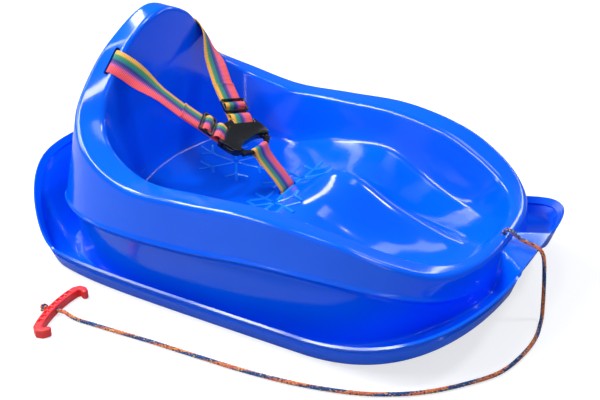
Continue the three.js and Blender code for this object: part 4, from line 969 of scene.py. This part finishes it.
stitches = []
for name, (side, _, _) in SHOULDER_STRAPS.items():
    lines = hem_stitches(tails[name][1], strap_frame(side)[4])
    stitches.append(beads(f"{name}_hem_stitches", lines, STITCH_THREAD, STITCH_THREAD, 6, THREAD, "sled"))
print("stitch faces:", [len(s.data.polygons) for s in stitches])

# %% [markdown]
# The buckle, its arms, the sliders and the keeper bars are moulded from dark plastic, the handle from red plastic.
# They could be modelled again, but their solids already have the right form. Each piece is a merged copy of its solid
# with rounded edges, so that the light draws a thin line along them. The handle's curved pockets would leave a Bevel
# with crossing corners, so it gets a fine even skin by Voxel Remesh, which is then smoothed.

# %% Hard pieces
MOULD_EDGE, HANDLE_VOXEL, HANDLE_SMOOTHING = 0.0005, 0.0007, 8
HARD_PIECES = {
    "buckle_housing": "sled", "buckle_insert": "insert", "buckle_left_release_arm": "left_arm",
    "buckle_right_release_arm": "right_arm", "left_strap_slider": "left_slider", "right_strap_slider": "right_slider",
    "left_strap_keeper": "sled", "right_strap_keeper": "sled", "crotch_strap_keeper": "sled", "pull_handle": "sled"}


def moulded(node_name, body):
    is_handle = node_name == "pull_handle"
    cage = bmesh.new()
    cage.from_mesh(NODES[node_name].data)
    bmesh.ops.remove_doubles(cage, verts=cage.verts, dist=1e-6)
    bmesh.ops.dissolve_limit(cage, angle_limit=math.radians(1), verts=cage.verts, edges=cage.edges)
    mesh = bpy.data.meshes.new(node_name)
    cage.to_mesh(mesh)
    cage.free()
    obj = link_new("moulded_" + node_name, mesh)
    if is_handle:
        skin = obj.modifiers.new("even_skin", "REMESH")
        skin.mode, skin.voxel_size = "VOXEL", HANDLE_VOXEL
        soften = obj.modifiers.new("mould_rounding", "SMOOTH")
        soften.factor, soften.iterations = 0.5, HANDLE_SMOOTHING
    else:
        bevel = obj.modifiers.new("mould_rounding", "BEVEL")
        bevel.width, bevel.segments = MOULD_EDGE, 2
        bevel.limit_method, bevel.angle_limit = "ANGLE", math.radians(30)
    apply_modifiers(obj)
    obj.data.materials.clear()
    obj.data.materials.append(RED if is_handle else CHARCOAL)
    obj.data.shade_smooth()
    obj.data.set_sharp_from_angle(angle=math.radians(60 if is_handle else 28))
    place_in_frame(obj, body, [node_name])
    return obj


hard = {name: moulded(name, body) for name, body in HARD_PIECES.items()}
print("hard pieces:", {name: len(obj.data.polygons) for name, obj in hard.items()})

# %% [markdown]
# The rope is braided: four strands run round it one way and four the other, and they pass over and under each other
# like ribbons on a maypole. A plain tube with a bump would look flat close up, so each strand is real. Geometry Nodes
# copies the rope's centre line eight times, winds each copy round it and gives it a round section. Each strand keeps
# its turn round the rope and its run along it, for the colours.

# %% Tree for the braid
STRANDS = 8


def braid_tree():
    sizes = {"Lay radius": "Float", "Weave": "Float", "Strand radius": "Float", "Turns per metre": "Float",
             "Material": "Material"}
    tree, given, end = new_tree("maypole_braid", sizes)
    line = add(tree, "GeometryNodeMeshToCurve", {}, {"Mesh": given["Geometry"]})
    copies = add(tree, "GeometryNodeDuplicateElements", {"domain": "SPLINE"}, {"Geometry": line, "Amount": STRANDS})
    index = Field(tree, copies.socket.node.outputs["Duplicate Index"])
    way = index.math("MODULO", 2) * -2 + 1
    run = add(tree, "GeometryNodeSplineParameter", output=1)
    wind = run * given["Turns per metre"] * (2 * math.pi)
    turn = (index * 0.5).math("FLOOR") * (math.pi / 2) + wind * way
    reach = given["Lay radius"] + (wind * 4).math("COSINE") * way * given["Weave"]
    normal, tangent = add(tree, "GeometryNodeInputNormal"), add(tree, "GeometryNodeInputTangent")
    side = add(tree, "ShaderNodeVectorMath", {"operation": "CROSS_PRODUCT"}, {0: tangent, 1: normal})
    outward = []
    for direction, share in ((normal, turn.math("COSINE")), (side, turn.math("SINE"))):
        scaled = {0: direction, "Scale": share * reach}
        outward.append(add(tree, "ShaderNodeVectorMath", {"operation": "SCALE"}, scaled))
    offset = add(tree, "ShaderNodeVectorMath", {"operation": "ADD"}, {0: outward[0], 1: outward[1]})
    marked = copies
    for label, value in (("rope_turn", turn / (2 * math.pi)), ("rope_run", run), ("strand", index)):
        marked = add(tree, "GeometryNodeStoreNamedAttribute", {}, {"Geometry": marked, "Name": label, "Value": value})
    wound = add(tree, "GeometryNodeSetPosition", {}, {"Geometry": marked, "Offset": offset})
    circle = add(tree, "GeometryNodeCurvePrimitiveCircle", {}, {"Resolution": 5, "Radius": given["Strand radius"]})
    strands = add(tree, "GeometryNodeCurveToMesh", {}, {"Curve": wound, "Profile Curve": circle, "Fill Caps": True})
    finish_tree(tree, end, strands, given["Material"])
    return tree


BRAID = braid_tree()
print("braid tree nodes:", len(BRAID.nodes))

# %% [markdown]
# Seen from one side, the rope changes from orange to blue and back, because its coloured strands drift slowly round
# it. A colour for each strand would give an even braid of dots instead, so the colour reads the strand's turn and run
# from the tree. Single yellow and dark yarns show as flecks.

# %% Rope material
COLOUR_PITCH, STRAND_SHIFT, YARN_SCALE, FLECK_SCALE, YARN_DEPTH = 0.085, 2.4, 700, 420, 0.0003


def rope_material():
    material, tree, surface = new_material("rope_braid")
    turn, run, strand = (add(tree, "ShaderNodeAttribute", {"attribute_name": name}, output=2)
                         for name in ("rope_turn", "rope_run", "strand"))
    place = add(tree, "ShaderNodeTexCoord", output=3)
    drift = ((turn + run / COLOUR_PITCH) * (2 * math.pi)).math("SINE") + (strand * STRAND_SHIFT).math("SINE") * 0.35
    yarns = noise(tree, place, YARN_SCALE, 1.0)
    warm = mixed(tree, yarns.ease(0.5, 0.62), screen(226, 112, 84), screen(232, 152, 78))
    cold = mixed(tree, yarns.ease(0.44, 0.56), screen(30, 52, 104), screen(34, 108, 184))
    tone = mixed(tree, drift.ease(-0.12, 0.12), cold, warm)
    flecks = noise(tree, place, FLECK_SCALE, 0.0)
    tone = mixed(tree, flecks.ease(0.66, 0.7), tone, screen(232, 190, 96))
    tone = mixed(tree, 1 - flecks.ease(0.3, 0.34), tone, screen(32, 40, 70))
    feed(surface, Base_Color=tone, Roughness=yarns * 0.2 + 0.6, Normal=bumped(tree, yarns, 0.5, YARN_DEPTH))
    return material


ROPE = rope_material()
print("rope colours change every", COLOUR_PITCH, "m")

# %% [markdown]
# The knots could be lumps with a bump, but the braid's tree can also follow a closed knot line, a trefoil, so each is a
# real knot of the same rope.

# %% Rope and knots
BRAID_TURNS, LAY_RADIUS, WEAVE, STRAND_RADIUS, KNOT_SCALE = 52.0, 1.85, 0.25, 0.9, 0.8
KNOT_LENGTH, KNOT_POINTS, KNOT_REACH, KNOT_SWING, KNOT_DEPTH = 12.0, 72, 3.1, 1.0, 2.6


def braided(name, line, closed, scale, replaces):
    n, turns = len(line), BRAID_TURNS
    edges = [(i, (i + 1) % n) for i in range(n if closed else n - 1)]
    if closed:
        around_once = sum(np.linalg.norm(line[i] - line[i - 1]) for i in range(n)) * MM
        turns = round(around_once * turns) / around_once
    obj = new_object(name, list(line), [], ROPE, edges=edges)
    sizes = {"Lay radius": LAY_RADIUS, "Weave": WEAVE, "Strand radius": STRAND_RADIUS}
    sizes = {label: size * scale * MM for label, size in sizes.items()}
    grow(obj, BRAID, Material=ROPE, **{"Turns per metre": turns, **sizes})
    place_in_frame(obj, "sled", replaces)
    return obj


def knot_line(middle, along):
    along = unit(along)
    side = unit(np.cross(along, X if abs(along[0]) < 0.9 else Z))
    up = np.cross(side, along)
    line = []
    for t in np.linspace(0, 2 * math.pi, KNOT_POINTS, endpoint=False):
        reach = KNOT_REACH + KNOT_SWING * math.cos(3 * t)
        flat = side * reach * math.cos(2 * t) + up * reach * math.sin(2 * t)
        line.append(middle + flat + along * KNOT_DEPTH * math.sin(3 * t))
    return line


rope = braided("braided_rope", rope_line, False, 1.0, ["tow_rope"])
stop_middle = np.array(ROUTE[0]) - Z * (KNOT_LENGTH / 2 + SEAT_GAP)
tied_middle = route[-1] - handle_out * (KNOT_LENGTH / 2 + SEAT_GAP)
braided("rope_end_knot", knot_line(stop_middle, Z), True, KNOT_SCALE, ["rope_stop_knot"])
tied_knot = braided("handle_end_knot", knot_line(tied_middle, handle_out), True, KNOT_SCALE, ["handle_knot"])
[tuple(p * MM) for p in route]
print("rope triangles:", sum(len(p.vertices) - 2 for p in rope.data.polygons))

# %% [markdown]
# The seat floor carries moulded snowflakes, one behind and two beside the crotch strap. They could be cut into the
# shell, but as beads laid on it they keep the shell's mesh clean. Their ribs follow the floor: their heights are found
# by looking straight down on the finished shell, and a rib stops where the floor gets steep or ends at a slot.

# %% Snowflakes
LOOK_FROM, LEVEL_ENOUGH, FLOOR_TOP = 0.2, 0.86, 0.118
RIB_WIDTH, RIB_HEIGHT, RIB_START, RIB_STEP, SIDE_RIB_TURN = 5.6, 2.8, 5, 2.5, (0.5, 0.866)


def on_floor(place):
    hit, normal, _, _ = shell_tree.ray_cast(Vector((place[0] * MM, place[1] * MM, LOOK_FROM)), Vector((0, 0, -1)))
    level = hit and normal.z > LEVEL_ENOUGH and hit.z < FLOOR_TOP
    return np.array([*place, hit.z / MM]) if level else None


def snowflake_lines(x, y, radius, turn, branches):
    lines, middle, (ahead, sideways) = [], np.array([x, y]), SIDE_RIB_TURN
    for angle in np.radians(turn + 60.0 * np.arange(6)):
        way, side = np.array([math.cos(angle), math.sin(angle)]), np.array([-math.sin(angle), math.cos(angle)])
        ends = [(middle + way * RIB_START, middle + way * radius)]
        for share, reach in branches:
            root = middle + way * radius * share
            ends += [(root, root + (way * ahead + side * sign * sideways) * reach) for sign in (1, -1)]
        for a, b in ends:
            steps, line = max(3, int(np.linalg.norm(b - a) / RIB_STEP)), []
            for k in range(steps + 1):
                p = on_floor(a + (b - a) * k / steps)
                if p is None:
                    break
                line.append(p)
            if len(line) > 3:
                lines.append(line)
    return lines


SNOWFLAKES = {
    "rear_snowflake": (-150.0, 58.0, 68.0, -56.0, ((0.62, 22.0),)),
    "front_snowflake": (-20.0, 44.0, 60.0, -90.0, ((0.55, 24.0),)),
    "side_snowflake": (-12.0, -50.0, 56.0, 90.0, ((0.5, 24.0),))}
# The ribs take the lighter rib blue, a painted highlight.
for name, place in SNOWFLAKES.items():
    flake = beads(name, snowflake_lines(*place), RIB_WIDTH, RIB_HEIGHT, 12, RIB_BLUE_PAINTED_HIGHLIGHT, "sled")
    print(name, "faces:", len(flake.data.polygons))

# %% [markdown]
# A white studio. The floor could be lit until it turns white, but then the sled would bleach too. Instead the floor
# glows a little to the camera alone and the backdrop is white to the camera alone, so a soft contact shadow stays.

# %% Floor and world
FLOOR_TONE, FLOOR_ROUGHNESS, FLOOR_GLOW, GROUND, GROUND_LEVEL = 0.42, 0.7, 0.7, 6000.0, -0.3
SKY_COLOUR, SKY_STRENGTH, WHITE = (0.62, 0.78, 1.0), 0.2, (1.0, 1.0, 1.0)
floor_material, floor_tree, floor_surface = new_material("studio_floor")
floor_surface.inputs["Base Color"].default_value = (FLOOR_TONE, FLOOR_TONE, FLOOR_TONE, 1)
floor_surface.inputs["Roughness"].default_value = FLOOR_ROUGHNESS
floor_surface.inputs["Emission Color"].default_value = (*WHITE, 1)
feed(floor_surface, Emission_Strength=add(floor_tree, "ShaderNodeLightPath") * FLOOR_GLOW)
corners = [(sx * GROUND, sy * GROUND, GROUND_LEVEL) for sx, sy in ((-1, -1), (1, -1), (1, 1), (-1, 1))]
new_object("studio_ground", corners, [[0, 1, 2, 3]], floor_material)
world = bpy.data.worlds.new("studio")
world.use_nodes = True
backdrop = add(world.node_tree, "ShaderNodeLightPath")
feed(world.node_tree.nodes["Background"], Color=mixed(world.node_tree, backdrop, SKY_COLOUR, WHITE),
     Strength=backdrop * (1 - SKY_STRENGTH) + SKY_STRENGTH)
scene.world = world
scene.view_settings.view_transform = "Standard"
print("backdrop:", world.name)

# %% [markdown]
# A sun and a broad lamp carry the colour. One big soft box would light the sled as well, but glossy plastic shows what
# it reflects: narrow strips draw the crisp lines along the rim and the shoulder.

# %% Lights
SUN_STRENGTH, SUN_ANGLE, SUN_FROM = 0.8, math.radians(9), (0.35, 0.3, 1.0)
SLED_MIDDLE = (0, 0, 0.1)
LAMPS = {
    "strip_over_rim": ((-1.0, -0.45, 1.9), (0, -0.1, 0.1), (3.0, 0.28), 58),
    "overhead": ((0.0, 0.3, 2.4), (0, 0, 0), (0.4, 1.4), 8),
    "key_left": ((-1.9, -0.7, 1.6), SLED_MIDDLE, (0.25, 1.6), 14),
    "strip_front": ((1.6, -1.5, 1.3), SLED_MIDDLE, (0.1, 1.4), 4),
    "strip_back": ((0.6, 1.9, 1.2), SLED_MIDDLE, (1.8, 0.14), 8),
    "fill_side": ((0.3, -2.6, 1.0), SLED_MIDDLE, (3.6, 2.0), 8)}
sun = bpy.data.lights.new("sun", "SUN")
sun.energy, sun.angle = SUN_STRENGTH, SUN_ANGLE
link_new("sun", sun).rotation_euler = Vector(SUN_FROM).to_track_quat("Z", "Y").to_euler()
for name, (place, target, size, energy) in LAMPS.items():
    data = bpy.data.lights.new(name, "AREA")
    data.shape, data.energy, (data.size, data.size_y) = "RECTANGLE", energy, size
    lamp = link_new(name, data)
    lamp.location = place
    lamp.rotation_euler = (Vector(target) - Vector(place)).to_track_quat("-Z", "Y").to_euler()
